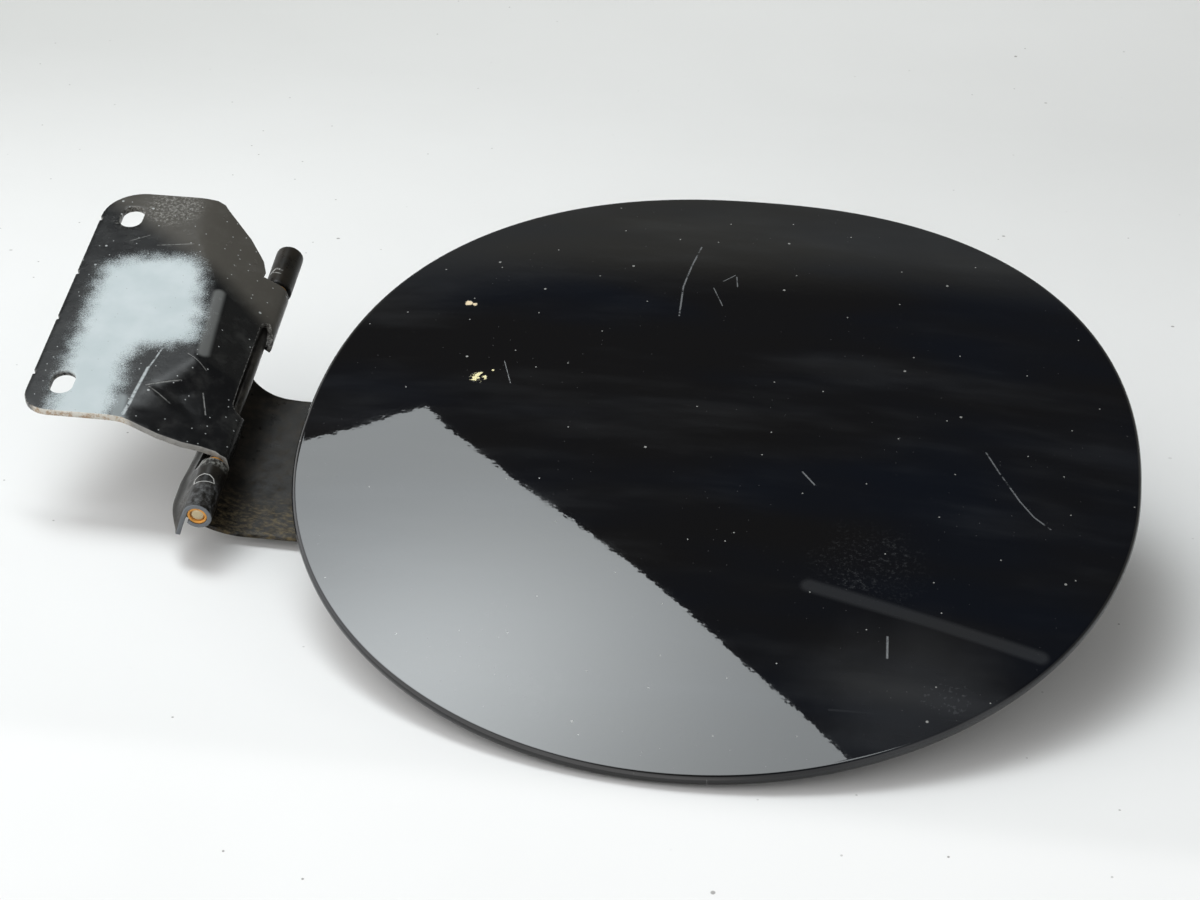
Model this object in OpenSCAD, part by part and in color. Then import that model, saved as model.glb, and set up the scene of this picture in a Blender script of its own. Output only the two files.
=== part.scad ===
// Car fuel door: a hemmed outer panel with a pressed inner panel, a gooseneck hinge arm,
// a body bracket and the pin that joins them. Millimetres.
// The origin lies on the bracket's face, midway between the bolt holes. X points to the door, Y along
// the pin, Z outward. Each piece is drawn from the pin's middle and then moved by from_pin().

/* [Door panel] */
// Width of the door across the hinge line
panel_w = 172.7; // [150:0.5:220]
// Height of the door along the hinge line
panel_h = 178; // [150:0.5:220]
// Squareness of the outline's far half: 2 is an ellipse
square_far = 2.3; // [2:0.05:4]
// Squareness of the outline's near half
square_near = 2; // [2:0.05:4]
// Hinge side of the door's edge from the pin
hinge_edge = 18.6; // [14:0.25:40]
// Door centre along the pin
panel_y = -24.4; // [-30:0.1:20]
// Height of the door's edge above the pin
edge_z = 10; // [4:0.5:16]
// Height of the dome over the edge
crown = 4.5; // [0:0.1:10]
// Sheet of the outer panel
skin_t = 0.8; // [0.6:0.05:1.2]
// Sheet of the inner panel
inner_t = 0.7; // [0.5:0.05:1.2]
// Width of the hem
hem_w = 6.5; // [4:0.5:10]
// Depth of the inner panel's floor below the door's edge
floor_drop = 9; // [6:0.5:14]
// Height of the raised middle of the inner panel
middle_rise = 3; // [0:0.5:6]
// Foot of the inner panel's wall, in from the edge
wall_in = 15.5; // [13:0.5:24]
// Foot of the raised middle, in from the edge
middle_in = 46; // [36:0.5:60]
// Width of the ramp up to the raised middle
ramp_w = 10; // [4:0.5:16]

/* [Hinge] */
// Length of the hinge
hinge_len = 88; // [70:0.5:100]
// Pin diameter
pin_d = 3; // [2.5:0.1:5]
// Running clearance of the pin in a bush, on the radius
pin_fit = 0.03; // [0.01:0.01:0.1]
// Outer diameter of a bush
bush_d = 4.2; // [3.8:0.1:7]
// Length of the arm's near knuckle
near_knuckle = 15.2; // [8:0.5:20]
// Length of the arm's far knuckle
far_knuckle = 13; // [8:0.5:20]
// Bush that shows beside the near knuckle
bush_show = 1.4; // [0.2:0.1:3]
// Length of a bracket knuckle
bracket_knuckle = 15.7; // [8:0.5:20]

/* [Hinge arm] */
// Sheet of the arm
arm_t = 1; // [0.8:0.1:2]
// Width of the gooseneck
arm_w = 44; // [30:0.5:60]
// Middle of the gooseneck along the pin
arm_y = -13.5; // [-20:0.5:20]
// Lean of the sheet as it leaves the knuckle
lean = 18.5; // [0:0.5:30]
// Depth of the gooseneck's floor below the pin, at mid sheet
neck_z = 12.2; // [9:0.1:16]
// Where the gooseneck starts to rise, from the pin
rise_x = 26; // [20:0.5:40]
// Far end of the welded pad, from the pin
pad_x = 61; // [50:0.5:80]
// Length of the free tab at each end of the bar
tab_len = 7.6; // [5:0.1:12]
// Length along the hinge over which a bend opens into a free tab
blend_len = 9.6; // [6:0.1:14]

/* [Body bracket] */
// Sheet of the bracket
bracket_t = 1.5; // [1:0.1:2.5]
// Height of the plate's face above the pin
plate_z = 9.2; // [6:0.1:14]
// Outer edge of the plate, from the pin
plate_x = 42.3; // [30:0.5:60]
// Near end of the plate, in from the knuckle's near end
plate_in = 2.1; // [0:0.1:4]
// Far end of the plate, past the hinge's far end
plate_over = 7.5; // [0:0.5:12]
// Corner radius of the plate's near outer corner
plate_r = 6; // [2:0.5:12]
// Corner radius of the plate's far outer corner
plate_far_r = 9; // [2:0.5:14]
// Width of the two slotted bolt holes
bolt_d = 5; // [4:0.1:9]
// Length of the two slotted bolt holes along the pin
slot_len = 7.4; // [5:0.1:12]
// Near bolt hole from the plate's near end
near_bolt = 9.5; // [6:0.25:20]
// Far bolt hole from the plate's far end
far_bolt = 8.9; // [6:0.25:20]
// Bolt holes out from the pin
bolt_x = 35.2; // [25:0.1:50]

/* [Latch striker] */
// Sheet of the striker
striker_t = 1.5; // [1:0.1:3]
// Width of the striker
striker_w = 14; // [8:0.5:24]
// Depth of the striker below the inner panel
striker_drop = 13; // [8:0.5:20]
// Leg of the striker, in from the door's edge
striker_in = 22.5; // [17:0.25:40]
// Length of the striker's welded base
striker_base = 14; // [8:0.5:24]
// Length of the striker's foot
striker_foot = 5; // [2:0.5:10]
// Height of the lip on the striker's foot
striker_lip = 3.5; // [2:0.5:8]

/* [Hidden] */
$fn = 96;
seat = 0.02;
loft_n = 96;
pa = panel_w / 2;
pb = panel_h / 2;
panel_x = hinge_edge + pa;
hem_h = 2 * skin_t + inner_t + 2 * seat;
floor_top = edge_z - floor_drop + inner_t;
half = hinge_len / 2;
arm_in = bush_d / 2;
arm_r = arm_in + arm_t / 2;
near_in = -half + near_knuckle;
far_in = half - far_knuckle;
bk_near0 = near_in + bush_show + 0.1;
bk_near1 = bk_near0 + bracket_knuckle;
bk_far1 = far_in - 0.3;
bk_far0 = bk_far1 - bracket_knuckle;
bk_r = pin_d / 2 + bracket_t;
knuckle_gap = 0.6;
plate_near = bk_near0 + plate_in;
plate_far = half + plate_over;
bolt_near_y = plate_near + near_bolt;
bolt_far_y = plate_far - far_bolt;
bolt_mid = (bolt_near_y + bolt_far_y) / 2;

// Moves a piece from the pin's frame to the frame of the bolt holes
module from_pin() {
    translate([bolt_x, -bolt_mid, -plate_z])
        children();
}
arm_y0 = arm_y - arm_w / 2;
arm_y1 = arm_y + arm_w / 2;

// Height of the outer face at an inset from the outline
function dome(d) = edge_z + crown * (1 - pow((pa - d) / pa, 2));
function sgn_pow(v, e) = (v < 0 ? -1 : 1) * pow(abs(v), e);
function rim_pt(d, j) = let (th = 360 * j / loft_n, e = 2 / (sin(th) > 0 ? square_far : square_near))
    [panel_x + (pa - d) * sgn_pow(cos(th), e), panel_y + (pb - d) * sgn_pow(sin(th), e)];

// Solid whose section runs from a top middle point through the rings to a bottom middle point
module ring_loft(rings, top_z, bottom_z) {
    n = len(rings);
    pts = concat(
        [[panel_x, panel_y, top_z]],
        [for (r = rings, j = [0:loft_n - 1]) let (p = rim_pt(r[0], j)) [p[0], p[1], r[1]]],
        [[panel_x, panel_y, bottom_z]]);
    last = n * loft_n + 1;
    faces = concat(
        [for (j = [0:loft_n - 1]) [0, 1 + (j + 1) % loft_n, 1 + j]],
        [for (i = [0:n - 2], j = [0:loft_n - 1])
            [1 + i * loft_n + j, 1 + i * loft_n + (j + 1) % loft_n,
             1 + (i + 1) * loft_n + (j + 1) % loft_n]],
        [for (i = [0:n - 2], j = [0:loft_n - 1])
            [1 + i * loft_n + j, 1 + (i + 1) * loft_n + (j + 1) % loft_n, 1 + (i + 1) * loft_n + j]],
        [for (j = [0:loft_n - 1])
            [last, 1 + (n - 1) * loft_n + j, 1 + (n - 1) * loft_n + (j + 1) % loft_n]]);
    polyhedron(points = pts, faces = faces, convexity = 8);
}

skin_d = [for (s = [0.3, 0.55, 0.75, 0.9]) pa * (1 - s)];

module outer_panel() {
    back = dome(0) - hem_h;
    rings = concat(
        [for (d = skin_d) [d, dome(d)]],
        [[hem_w, dome(hem_w)], [1.1, dome(1.1)], [0.5, dome(0) - 0.12], [0.12, dome(0) - 0.5],
         [0, dome(0) - 1.05], [0.06, dome(0) - 1.65], [0.35, back + 0.22], [1, back + dome(1) - dome(0)]],
        [[hem_w, dome(hem_w) - hem_h], [hem_w, dome(hem_w) - hem_h + skin_t],
         [skin_t + 0.2, dome(1) - hem_h + skin_t], [skin_t + 0.2, dome(1) - skin_t]],
        [[hem_w, dome(hem_w) - skin_t]],
        [for (i = [3:-1:0]) [skin_d[i], dome(skin_d[i]) - skin_t]]);
    color([0.04, 0.05, 0.07])
        from_pin()
            ring_loft(rings, dome(pa), dome(pa) - skin_t);
}

module inner_panel() {
    m = floor_top + middle_rise;
    flange = skin_t + seat;
    top = [[middle_in + ramp_w, m], [middle_in + 0.75 * ramp_w, m - 0.25],
        [middle_in + 0.25 * ramp_w, floor_top + 0.25], [middle_in, floor_top], [wall_in, floor_top],
        [wall_in - 1.9, floor_top + 0.5], [9.2, dome(9.2) - flange - 1], [7.8, dome(7.8) - flange],
        [hem_w, dome(hem_w) - flange], [1.15, dome(1.15) - flange]];
    bottom = [for (i = [len(top) - 1:-1:0]) [top[i][0] + (i > 4 && i < 8 ? inner_t * 0.55 : 0)
        - (i > 0 && i < 3 ? inner_t * 0.5 : 0), top[i][1] - inner_t]];
    color([0.06, 0.07, 0.09])
        from_pin()
            ring_loft(concat(top, bottom), m, m - inner_t);
}

// Part of a ring, from angle a0 to a1
module arc_strip(r, t, a0, a1) {
    far = 2 * (r + t);
    intersection() {
        difference() {
            circle(r = r + t / 2);
            circle(r = r - t / 2);
        }
        polygon(concat([[0, 0]], [for (i = [0:8]) let (a = a0 + (a1 - a0) * i / 8)
            [far * cos(a), far * sin(a)]]));
    }
}

// Straight run of sheet from point p along heading h
module run(p, h, len, t) {
    translate(p)
        rotate(h)
            translate([-0.01, -t / 2])
                square([len + 0.02, t]);
}

// The arm's path: straight lean, outward bend, gooseneck bend, floor, rise and pad
h0 = 270 - lean;
a_tan = 180 - lean;
p0 = arm_r * [cos(a_tan), sin(a_tan)];
lean_len = 3;
p1 = p0 + lean_len * [cos(h0), sin(h0)];
out_r = 3;
out_turn = 50;
c1 = p1 + out_r * [cos(a_tan), sin(a_tan)];
h1 = h0 - out_turn;
p2 = c1 + out_r * [cos(h1 + 90), sin(h1 + 90)];
neck_r = (neck_z + p2[1]) / (1 - sin(h1 + 90));
c2 = p2 + neck_r * [cos(h1 + 90), sin(h1 + 90)];
p3 = [c2[0], -neck_z];
rise_r = 6;
rise_turn = 55;
pad_z = edge_z - floor_drop - arm_t / 2;
c3 = [rise_x, -neck_z + rise_r];
p4 = c3 + rise_r * [sin(rise_turn), -cos(rise_turn)];
rise_left = pad_z + neck_z - 2 * rise_r * (1 - cos(rise_turn));
rise_len = rise_left / sin(rise_turn);
p5 = p4 + rise_len * [cos(rise_turn), sin(rise_turn)];
c4 = p5 + rise_r * [sin(rise_turn), -cos(rise_turn)];
p6 = [c4[0], pad_z];

module bar_profile() {
    run(p0, h0, lean_len, arm_t);
    translate(c1)
        arc_strip(out_r, arm_t, h1 + 90, h0 + 90);
    translate(c2)
        arc_strip(neck_r, arm_t, h1 - 90, 270);
}

module arm_profile() {
    bar_profile();
    run(p3, 0, rise_x - p3[0], arm_t);
    translate(c3)
        arc_strip(rise_r, arm_t, -90, rise_turn - 90);
    run(p4, rise_turn, rise_len, arm_t);
    translate(c4)
        arc_strip(rise_r, arm_t, rise_turn + 90, 90);
    run(p6, 0, pad_x - p6[0], arm_t);
}

module curl_profile(r, t, a0, a1) {
    arc_strip(r, t, a0, a1);
}

// Turn a drawing in X and Z into a solid between two places along the pin
module along(y0, y1) {
    translate([0, y1, 0])
        rotate([90, 0, 0])
            linear_extrude(y1 - y0)
                children();
}

// Mid-sheet point of the bar at a length from the knuckle, before and after the outward bend
neck_len = neck_r * (270 - (h1 - 90)) * PI / 180;
out_len = out_r * out_turn * PI / 180;
function bent(l) = l < lean_len ? p0 + l * [cos(h0), sin(h0)]
    : l < lean_len + out_len
        ? let (a = h0 + 90 - (l - lean_len) / out_r * 180 / PI) c1 + out_r * [cos(a), sin(a)]
        : let (a = h1 - 90 + (l - lean_len - out_len) / neck_r * 180 / PI) c2 + neck_r * [cos(a), sin(a)];
function flat(l) = p0 + l * [cos(h0), sin(h0)];
function bar_pt(l, f) = (1 - f) * flat(l) + f * bent(l);
function bar_nrm(l, f) = let (d = bar_pt(l + 0.05, f) - bar_pt(l - 0.05, f)) [-d[1], d[0]] / norm(d);
bar_n = 18;
wing_n = 10;
bar_full = lean_len + out_len + neck_len * 0.86;
function ease(u) = u * u * (3 - 2 * u);
function bar_end(u) = tab_len + (bar_full - tab_len) * (1 - sqrt(max(0, 1 - u * u)));

// Outer end of the bar: the bend opens out into a straight free tab
module wing(y_in, y_out, blend) {
    root = -0.25;
    ht = arm_t / 2 - 0.03;
    sections = [for (i = [0:wing_n]) let (w = i / wing_n, y = y_in + (y_out - y_in) * w,
        v = min(1, abs(y - y_in) / blend), u = 1 - v, f = ease(u), le = bar_end(u))
        concat(
            [for (k = [0:bar_n])
                let (l = root + (le - root) * k / bar_n, p = bar_pt(l, f) + ht * bar_nrm(l, f))
                [p[0], y, p[1]]],
            [for (k = [bar_n:-1:0])
                let (l = root + (le - root) * k / bar_n, p = bar_pt(l, f) - ht * bar_nrm(l, f))
                [p[0], y, p[1]]])];
    m = 2 * (bar_n + 1);
    pts = [for (s = sections, p = s) p];
    flip = y_out < y_in;
    function order(t) = flip ? t : [t[2], t[1], t[0]];
    sides = [for (i = [0:wing_n - 1], k = [0:m - 1]) let (a = i * m + k, b = i * m + (k + 1) % m)
        each [order([a, b, b + m]), order([a, b + m, a + m])]];
    caps = [for (k = [0:bar_n - 1]) each [order([k + 1, k, m - 1 - k]), order([k + 1, m - 1 - k, m - 2 - k]),
        order([wing_n * m + k, wing_n * m + k + 1, wing_n * m + m - 1 - k]),
        order([wing_n * m + k + 1, wing_n * m + m - 2 - k, wing_n * m + m - 1 - k])]];
    polyhedron(points = pts, faces = concat(sides, caps), convexity = 6);
}

module hinge_arm() {
    color([0.1, 0.09, 0.08])
        from_pin() difference() {
            union() {
                along(-half, near_in)
                    curl_profile(arm_r, arm_t, -140, a_tan);
                along(far_in, half)
                    curl_profile(arm_r, arm_t, -140, a_tan);
                along(arm_y0, arm_y1)
                    arm_profile();
                wing(arm_y0 + 0.6, 0.04 - half, max(1, min(blend_len, half + arm_y0 - 0.9)));
                wing(arm_y1 - 0.6, half - 0.04, max(1, min(blend_len, half - arm_y1 - 0.9)));
            }
            along(near_in, bk_near1 + knuckle_gap)
                circle(r = bk_r + knuckle_gap);
            along(bk_far0 - knuckle_gap, far_in)
                circle(r = bk_r + knuckle_gap);
            translate([pad_x - 6, arm_y0 - 1, -20])
                corner_cut(7);
            translate([pad_x - 6, arm_y1 + 1, -20])
                mirror([0, 1, 0])
                    corner_cut(7);
        }
}

// Takes the corner off the welded pad
module corner_cut(s) {
    linear_extrude(40)
        polygon([[0, 0], [s + 1, 0], [s + 1, s]]);
}

// Height of the bracket's upper face
tan_x = 1.68;
tan_z = 2.49;
fold_pts = [[-60, 21], [-27, 21], [-21, 19], [-5, 8], [19, 8.8], [41, 17], [60, 20]];
along_k = half / 44;
fold_x = function (y) lookup(y / along_k, fold_pts);
function soft_min(a, b, r) = let (h = max(r - abs(a - b), 0) / r) min(a, b) - h * h * r / 4;
function plate_top(x, y) = soft_min(plate_z,
    tan_z + (tan_x - x) * (plate_z - tan_z) / (tan_x + fold_x(y)), 1.2);

grid_x = [-plate_x - 2, -24, -22, -20.5, -19, -17.5, -16, -14.5, -13, -11.5, -10.4, -9.6, -8.8, -8, -7, -5.5,
    -4, -2, 0, tan_x];
grid_mid = [-24, -22, -20, -16, -12, -8, -4, -1, 4, 10, 16, 20, 23, 27, 31, 35, 39, 43, 47];
grid_y = concat([plate_near - 4], along_k * grid_mid, [plate_far + 2]);

module pressed_sheet() {
    nx = len(grid_x);
    ny = len(grid_y);
    top = [for (y = grid_y, x = grid_x) [x, y, plate_top(x, y)]];
    low = [for (y = grid_y, x = grid_x)
        let (s = (plate_top(x + 0.1, y) - plate_top(x - 0.1, y)) / 0.2) [x, y, plate_top(x, y)
            - bracket_t * sqrt(1 + s * s)]];
    c = nx * ny;
    cells = [for (j = [0:ny - 2], i = [0:nx - 2]) let (a = j * nx + i)
        each [[a, a + nx + 1, a + 1], [a, a + nx, a + nx + 1],
              [c + a, c + a + 1, c + a + nx + 1], [c + a, c + a + nx + 1, c + a + nx]]];
    side_x = [for (i = [0:nx - 2]) let (a = i, b = (ny - 1) * nx + i)
        each [[a, a + 1, c + a + 1], [a, c + a + 1, c + a], [b, c + b, c + b + 1], [b, c + b + 1, b + 1]]];
    side_y = [for (j = [0:ny - 2]) let (a = j * nx, b = j * nx + nx - 1)
        each [[a, c + a, c + a + nx], [a, c + a + nx, a + nx], [b, b + nx, c + b + nx], [b, c + b + nx, c + b]]];
    polyhedron(points = concat(top, low), faces = concat(cells, side_x, side_y), convexity = 6);
}

// Rounded plan of the plate with its slanted far edge
module plate_plan() {
    x0 = -plate_x;
    y0 = plate_near;
    y1 = plate_far;
    r = plate_r;
    rf = plate_far_r;
    polygon(concat(
        [for (a = [180:15:270]) [x0 + r + r * cos(a), y0 + r + r * sin(a)]],
        [[-20, y0], [-16, y0 - 0.9], [-12, y0 - 1.7], [-7, y0 - 2], [-3, y0 - 1.6], [0, bk_near0 + 0.2],
         [tan_x + 2, bk_near0]],
        [[tan_x + 2, bk_far1], [-4.4, bk_far1], [-4.6, bk_far1 + 2.6], [-8, y1 - 9.7], [-14.2, y1 - 2.6],
         [-15.6, y1 - 0.8], [-17.5, y1]],
        [for (a = [90:15:180]) [x0 + rf + rf * cos(a), y1 - rf + rf * sin(a)]]));
}

module window_plan() {
    r = 3;
    w0 = bk_near1;
    w1 = bk_far0;
    polygon(concat(
        [[10, w0], [-2 + r, w0]],
        [for (a = [270:-15:180]) [-2 + r + r * cos(a), w0 + r + r * sin(a)]],
        [for (a = [180:-15:90]) [-2 + r + r * cos(a), w1 - r + r * sin(a)]],
        [[10, w1]]));
}

// Slotted bolt hole, long along the pin
module bolt_slot() {
    side = (slot_len - bolt_d) / 2;
    linear_extrude(20)
        union() {
            square([bolt_d, 2 * side], center = true);
            for (s = [-1, 1])
                translate([0, s * side])
                    circle(d = bolt_d);
        }
}

module hinge_bracket() {
    color([0.66, 0.7, 0.72])
        from_pin() difference() {
            union() {
                intersection() {
                    pressed_sheet();
                    translate([0, 0, -20])
                        linear_extrude(60)
                            difference() {
                                plate_plan();
                                window_plan();
                            }
                }
                along(bk_near0, bk_near1)
                    arc_strip(bk_r - bracket_t / 2, bracket_t, -145, 100);
                along(bk_far0, bk_far1)
                    arc_strip(bk_r - bracket_t / 2, bracket_t, -145, 100);
            }
            along(bk_near0 - 20, bk_far1 + 20)
                circle(d = pin_d + 2 * seat);
            for (y = [bolt_near_y, bolt_far_y])
                translate([-bolt_x, y, plate_z - 10])
                    bolt_slot();
        }
}

module hinge_pin() {
    color([0.6, 0.58, 0.5])
        from_pin()
            along(-half + 0.4, half - 0.4)
                circle(d = pin_d);
}

module bush(y0, y1) {
    color([0.8, 0.5, 0.2])
        from_pin()
            along(y0, y1)
                difference() {
                    circle(d = bush_d);
                    circle(r = pin_d / 2 + pin_fit);
                }
}

module near_bush() {
    bush(-half + 0.2, near_in + bush_show);
}

module far_bush() {
    bush(bk_far1 + 0.1, half - 0.2);
}

module latch_striker() {
    top = edge_z - floor_drop;
    t = striker_t;
    r = t + 0.5;
    striker_x = panel_x + pa - striker_in;
    color([0.5, 0.5, 0.48])
        from_pin() along(panel_y - striker_w / 2, panel_y + striker_w / 2) {
            translate([striker_x - striker_base, top - t])
                square([striker_base - r, t]);
            translate([striker_x - r, top - r])
                arc_strip(r - t / 2, t, 0, 90);
            translate([striker_x - t, top - striker_drop])
                square([t, striker_drop - r]);
            translate([striker_x - t, top - striker_drop])
                square([t + striker_foot, t]);
            translate([striker_x + striker_foot - t, top - striker_drop])
                square([t, striker_lip]);
        }
}

outer_panel();
inner_panel();
hinge_arm();
hinge_bracket();
hinge_pin();
near_bush();
far_bush();
latch_striker();
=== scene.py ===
# %% [markdown]
# # A car fuel door on its gooseneck hinge
#
# The part is a round steel flap from the side of a car. A domed outer skin is folded over the rim of
# a pressed inner panel. A swan-necked arm is welded to that inner panel and carries two rolled
# knuckles. A pin runs through them and through the two knuckles of a small body bracket.
#
# The construction, with its exact sizes, comes in as a frame of plain solids. This lesson builds the
# pieces again as fine, smooth sheet metal over that frame, and then paints, wears and lights them.

# %% Load the frame
import math

import bmesh
import bpy
import numpy as np
from mathutils import Matrix, Vector, geometry


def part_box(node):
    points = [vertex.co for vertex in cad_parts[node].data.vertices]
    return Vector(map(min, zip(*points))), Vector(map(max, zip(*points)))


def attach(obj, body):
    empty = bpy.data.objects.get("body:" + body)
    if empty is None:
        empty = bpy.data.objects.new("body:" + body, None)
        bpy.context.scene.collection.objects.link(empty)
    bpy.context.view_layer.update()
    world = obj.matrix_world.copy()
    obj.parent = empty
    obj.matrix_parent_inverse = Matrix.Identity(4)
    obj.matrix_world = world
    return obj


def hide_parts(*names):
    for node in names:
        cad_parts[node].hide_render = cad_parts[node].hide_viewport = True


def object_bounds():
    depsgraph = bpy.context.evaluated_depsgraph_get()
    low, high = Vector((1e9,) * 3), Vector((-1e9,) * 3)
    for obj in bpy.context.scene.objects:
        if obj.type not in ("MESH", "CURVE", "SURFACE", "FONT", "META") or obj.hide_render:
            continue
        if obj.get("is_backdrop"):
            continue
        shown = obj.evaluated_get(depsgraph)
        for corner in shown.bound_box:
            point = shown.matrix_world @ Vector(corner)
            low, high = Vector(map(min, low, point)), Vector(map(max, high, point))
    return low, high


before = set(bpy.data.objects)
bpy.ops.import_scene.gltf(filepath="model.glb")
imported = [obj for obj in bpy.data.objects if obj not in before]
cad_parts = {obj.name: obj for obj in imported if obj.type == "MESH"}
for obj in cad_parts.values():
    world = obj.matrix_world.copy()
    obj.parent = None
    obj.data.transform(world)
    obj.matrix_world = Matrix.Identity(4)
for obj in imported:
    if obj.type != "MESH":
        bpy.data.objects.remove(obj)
box_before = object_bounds()

# %% [markdown]
# ## Sizes
#
# All sizes below are millimetres measured from the middle of the hinge pin: X runs to the door, Y
# along the pin and Z out of the car. A press tool is drawn the same way, from the hinge line. The
# shared frame has its origin on the bracket's face between the bolt holes, so one helper moves a
# point from the pin to there and turns millimetres into metres.

# %% Sizes of the real part
PANEL_W, PANEL_H = 172.7, 178.0
SQUARE_FAR, SQUARE_NEAR = 2.3, 2.0
HINGE_EDGE, PANEL_Y = 18.6, -24.4
EDGE_Z, CROWN = 10.0, 4.5
SKIN_T, INNER_T, SEAT = 0.8, 0.7, 0.02
HEM_W, HEM_ROUND = 6.5, 1.1
FLOOR_DROP, MIDDLE_RISE = 9.0, 3.0
WALL_IN, MIDDLE_IN, RAMP_W = 15.5, 46.0, 10.0
HALF_A, HALF_B = PANEL_W / 2, PANEL_H / 2
PANEL_X = HINGE_EDGE + HALF_A
HEM_H = 2 * SKIN_T + INNER_T + 2 * SEAT
FLOOR_TOP = EDGE_Z - FLOOR_DROP + INNER_T

HALF_HINGE = 44.0
PIN_R = 1.5
BUSH_R, PIN_FIT = 2.1, 0.03
NEAR_IN, FAR_IN = -28.8, 31.0
BUSH_SHOW = 1.4
NEAR_B0, NEAR_B1 = -27.3, -11.6
FAR_B0, FAR_B1 = 15.0, 30.7

ARM_T, ARM_Y0, ARM_Y1 = 1.0, -35.5, 8.5
ARM_R = BUSH_R + ARM_T / 2
LEAN, NECK_Z, RISE_X, PAD_X = 18.5, 12.2, 26.0, 61.0
TAB_LEN, NEAR_BLEND, FAR_BLEND = 7.6, 7.6, 9.6
DROP_LEN, BACK_R, BACK_TURN, TOE_R = 3.0, 3.0, 50.0, 2.0
NECK_FLAT_X, RISE_R, RISE_TURN = 7.0, 6.0, 55.0
FAR_HOLD, BULGE = 3.6, 1.3

PLATE_T, PLATE_Z, PLATE_X = 1.5, 9.2, 42.3
PLATE_Y0, PLATE_Y1 = -25.2, 51.5
NEAR_CORNER, FAR_CORNER = 6.0, 9.0
SLOT_R, SLOT_LEN, BOLT_X = 2.5, 7.4, 35.2
BOLT_YS = (-15.7, 42.6)
BOLT_MID = 13.45

STRIKER_T, STRIKER_W, STRIKER_DROP = 1.5, 14.0, 13.0
STRIKER_X, STRIKER_BASE, STRIKER_FOOT, STRIKER_LIP = 168.8, 14.0, 5.0, 3.5


def from_pin(points):
    """Points in millimetres from the pin's middle, as metres in the shared frame."""
    return (np.asarray(points, float) + (BOLT_X, -BOLT_MID, -PLATE_Z)) / 1000


low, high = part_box("hinge_pin")
print("the pin's middle lies at", [round(c, 4) for c in from_pin((0, 0, 0))],
      "and the frame's pin at", [round((a + b) / 2, 4) for a, b in zip(low, high)])

# %% [markdown]
# ## Turning lists of points into pieces
#
# Every piece is plain mesh code: a list of points and a list of faces. One helper makes the object,
# turns its faces outward, shades it smooth, hangs it on the body it rides on and hides the solid of
# the frame that it stands for. Modelling by hand would do as well, but a formula keeps a
# pressed sheet at one even thickness.

# %% Make one piece
def make_piece(name, points, faces, body, nodes=()):
    mesh = bpy.data.meshes.new(name)
    mesh.from_pydata([tuple(p) for p in from_pin(points)], [], [tuple(f) for f in faces])
    work = bmesh.new()
    work.from_mesh(mesh)
    bmesh.ops.recalc_face_normals(work, faces=work.faces)
    work.to_mesh(mesh)
    work.free()
    mesh.polygons.foreach_set("use_smooth", [True] * len(mesh.polygons))
    piece = bpy.data.objects.new(name, mesh)
    bpy.context.scene.collection.objects.link(piece)
    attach(piece, body)
    if nodes:
        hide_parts(*nodes)
    triangles = sum(len(p.vertices) - 2 for p in mesh.polygons)
    print(f"{name}: {len(mesh.vertices)} points, {triangles} triangles")
    return piece


# %% [markdown]
# ## The round outline
#
# The door's edge is not quite an ellipse: its far half is a little squarer. A superellipse gives
# both halves with one number each. Rings of that outline, drawn in from the edge and stacked along a
# cross-section, are the way a spinner or a press draws a round pan, so both panels are made as
# stacks of rings.

# %% Rings of the door
RING_N = 288


def signed_power(v, e):
    return np.sign(v) * np.abs(v) ** e


def door_ring(inset, z):
    turn = 2 * np.pi * np.arange(RING_N) / RING_N
    e = np.where(np.sin(turn) > 0, 2 / SQUARE_FAR, 2 / SQUARE_NEAR)
    x = PANEL_X + (HALF_A - inset) * signed_power(np.cos(turn), e)
    y = PANEL_Y + (HALF_B - inset) * signed_power(np.sin(turn), e)
    return np.column_stack([x, y, np.full(RING_N, z)])


def dome(inset):
    return EDGE_Z + CROWN * (1 - ((HALF_A - inset) / HALF_A) ** 2)


def ring_stack(profile, top_z, bottom_z):
    """Points and faces of a closed round body, from its top middle through the rings to its bottom middle."""
    points = [np.array([[PANEL_X, PANEL_Y, top_z]])] + [door_ring(d, z) for d, z in profile]
    points.append(np.array([[PANEL_X, PANEL_Y, bottom_z]]))
    faces = []
    for j in range(RING_N):
        k = (j + 1) % RING_N
        faces.append((0, 1 + j, 1 + k))
        for i in range(len(profile) - 1):
            a = 1 + i * RING_N
            faces.append((a + j, a + RING_N + j, a + RING_N + k, a + k))
        a = 1 + (len(profile) - 1) * RING_N
        faces.append((a + RING_N, a + k, a + j))
    return np.vstack(points), faces


print("the door is", PANEL_W, "by", PANEL_H, "mm with a crown of", CROWN, "mm")

# %% [markdown]
# ## The outer skin
#
# The outer skin is the painted face of the door. Its edge is hemmed: the sheet turns over the rim of
# the inner panel and lies flat against it, which leaves the round, smooth edge that a hand feels. The
# cross-section goes over the dome, round the hem and back along the inside, so that the skin has a
# real thickness all the way.

# %% Outer skin with its hem
def hem_round(steps=16):
    """The rolled edge, from the outer face down to the hem's back face."""
    top, back = dome(HEM_ROUND), dome(0) - HEM_H + 0.1
    middle, half = (top + back) / 2, (top - back) / 2
    turns = np.linspace(0, math.pi, steps + 1)
    return [(HEM_ROUND * (1 - math.sin(a) ** 0.8), middle + half * math.cos(a)) for a in turns]


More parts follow.
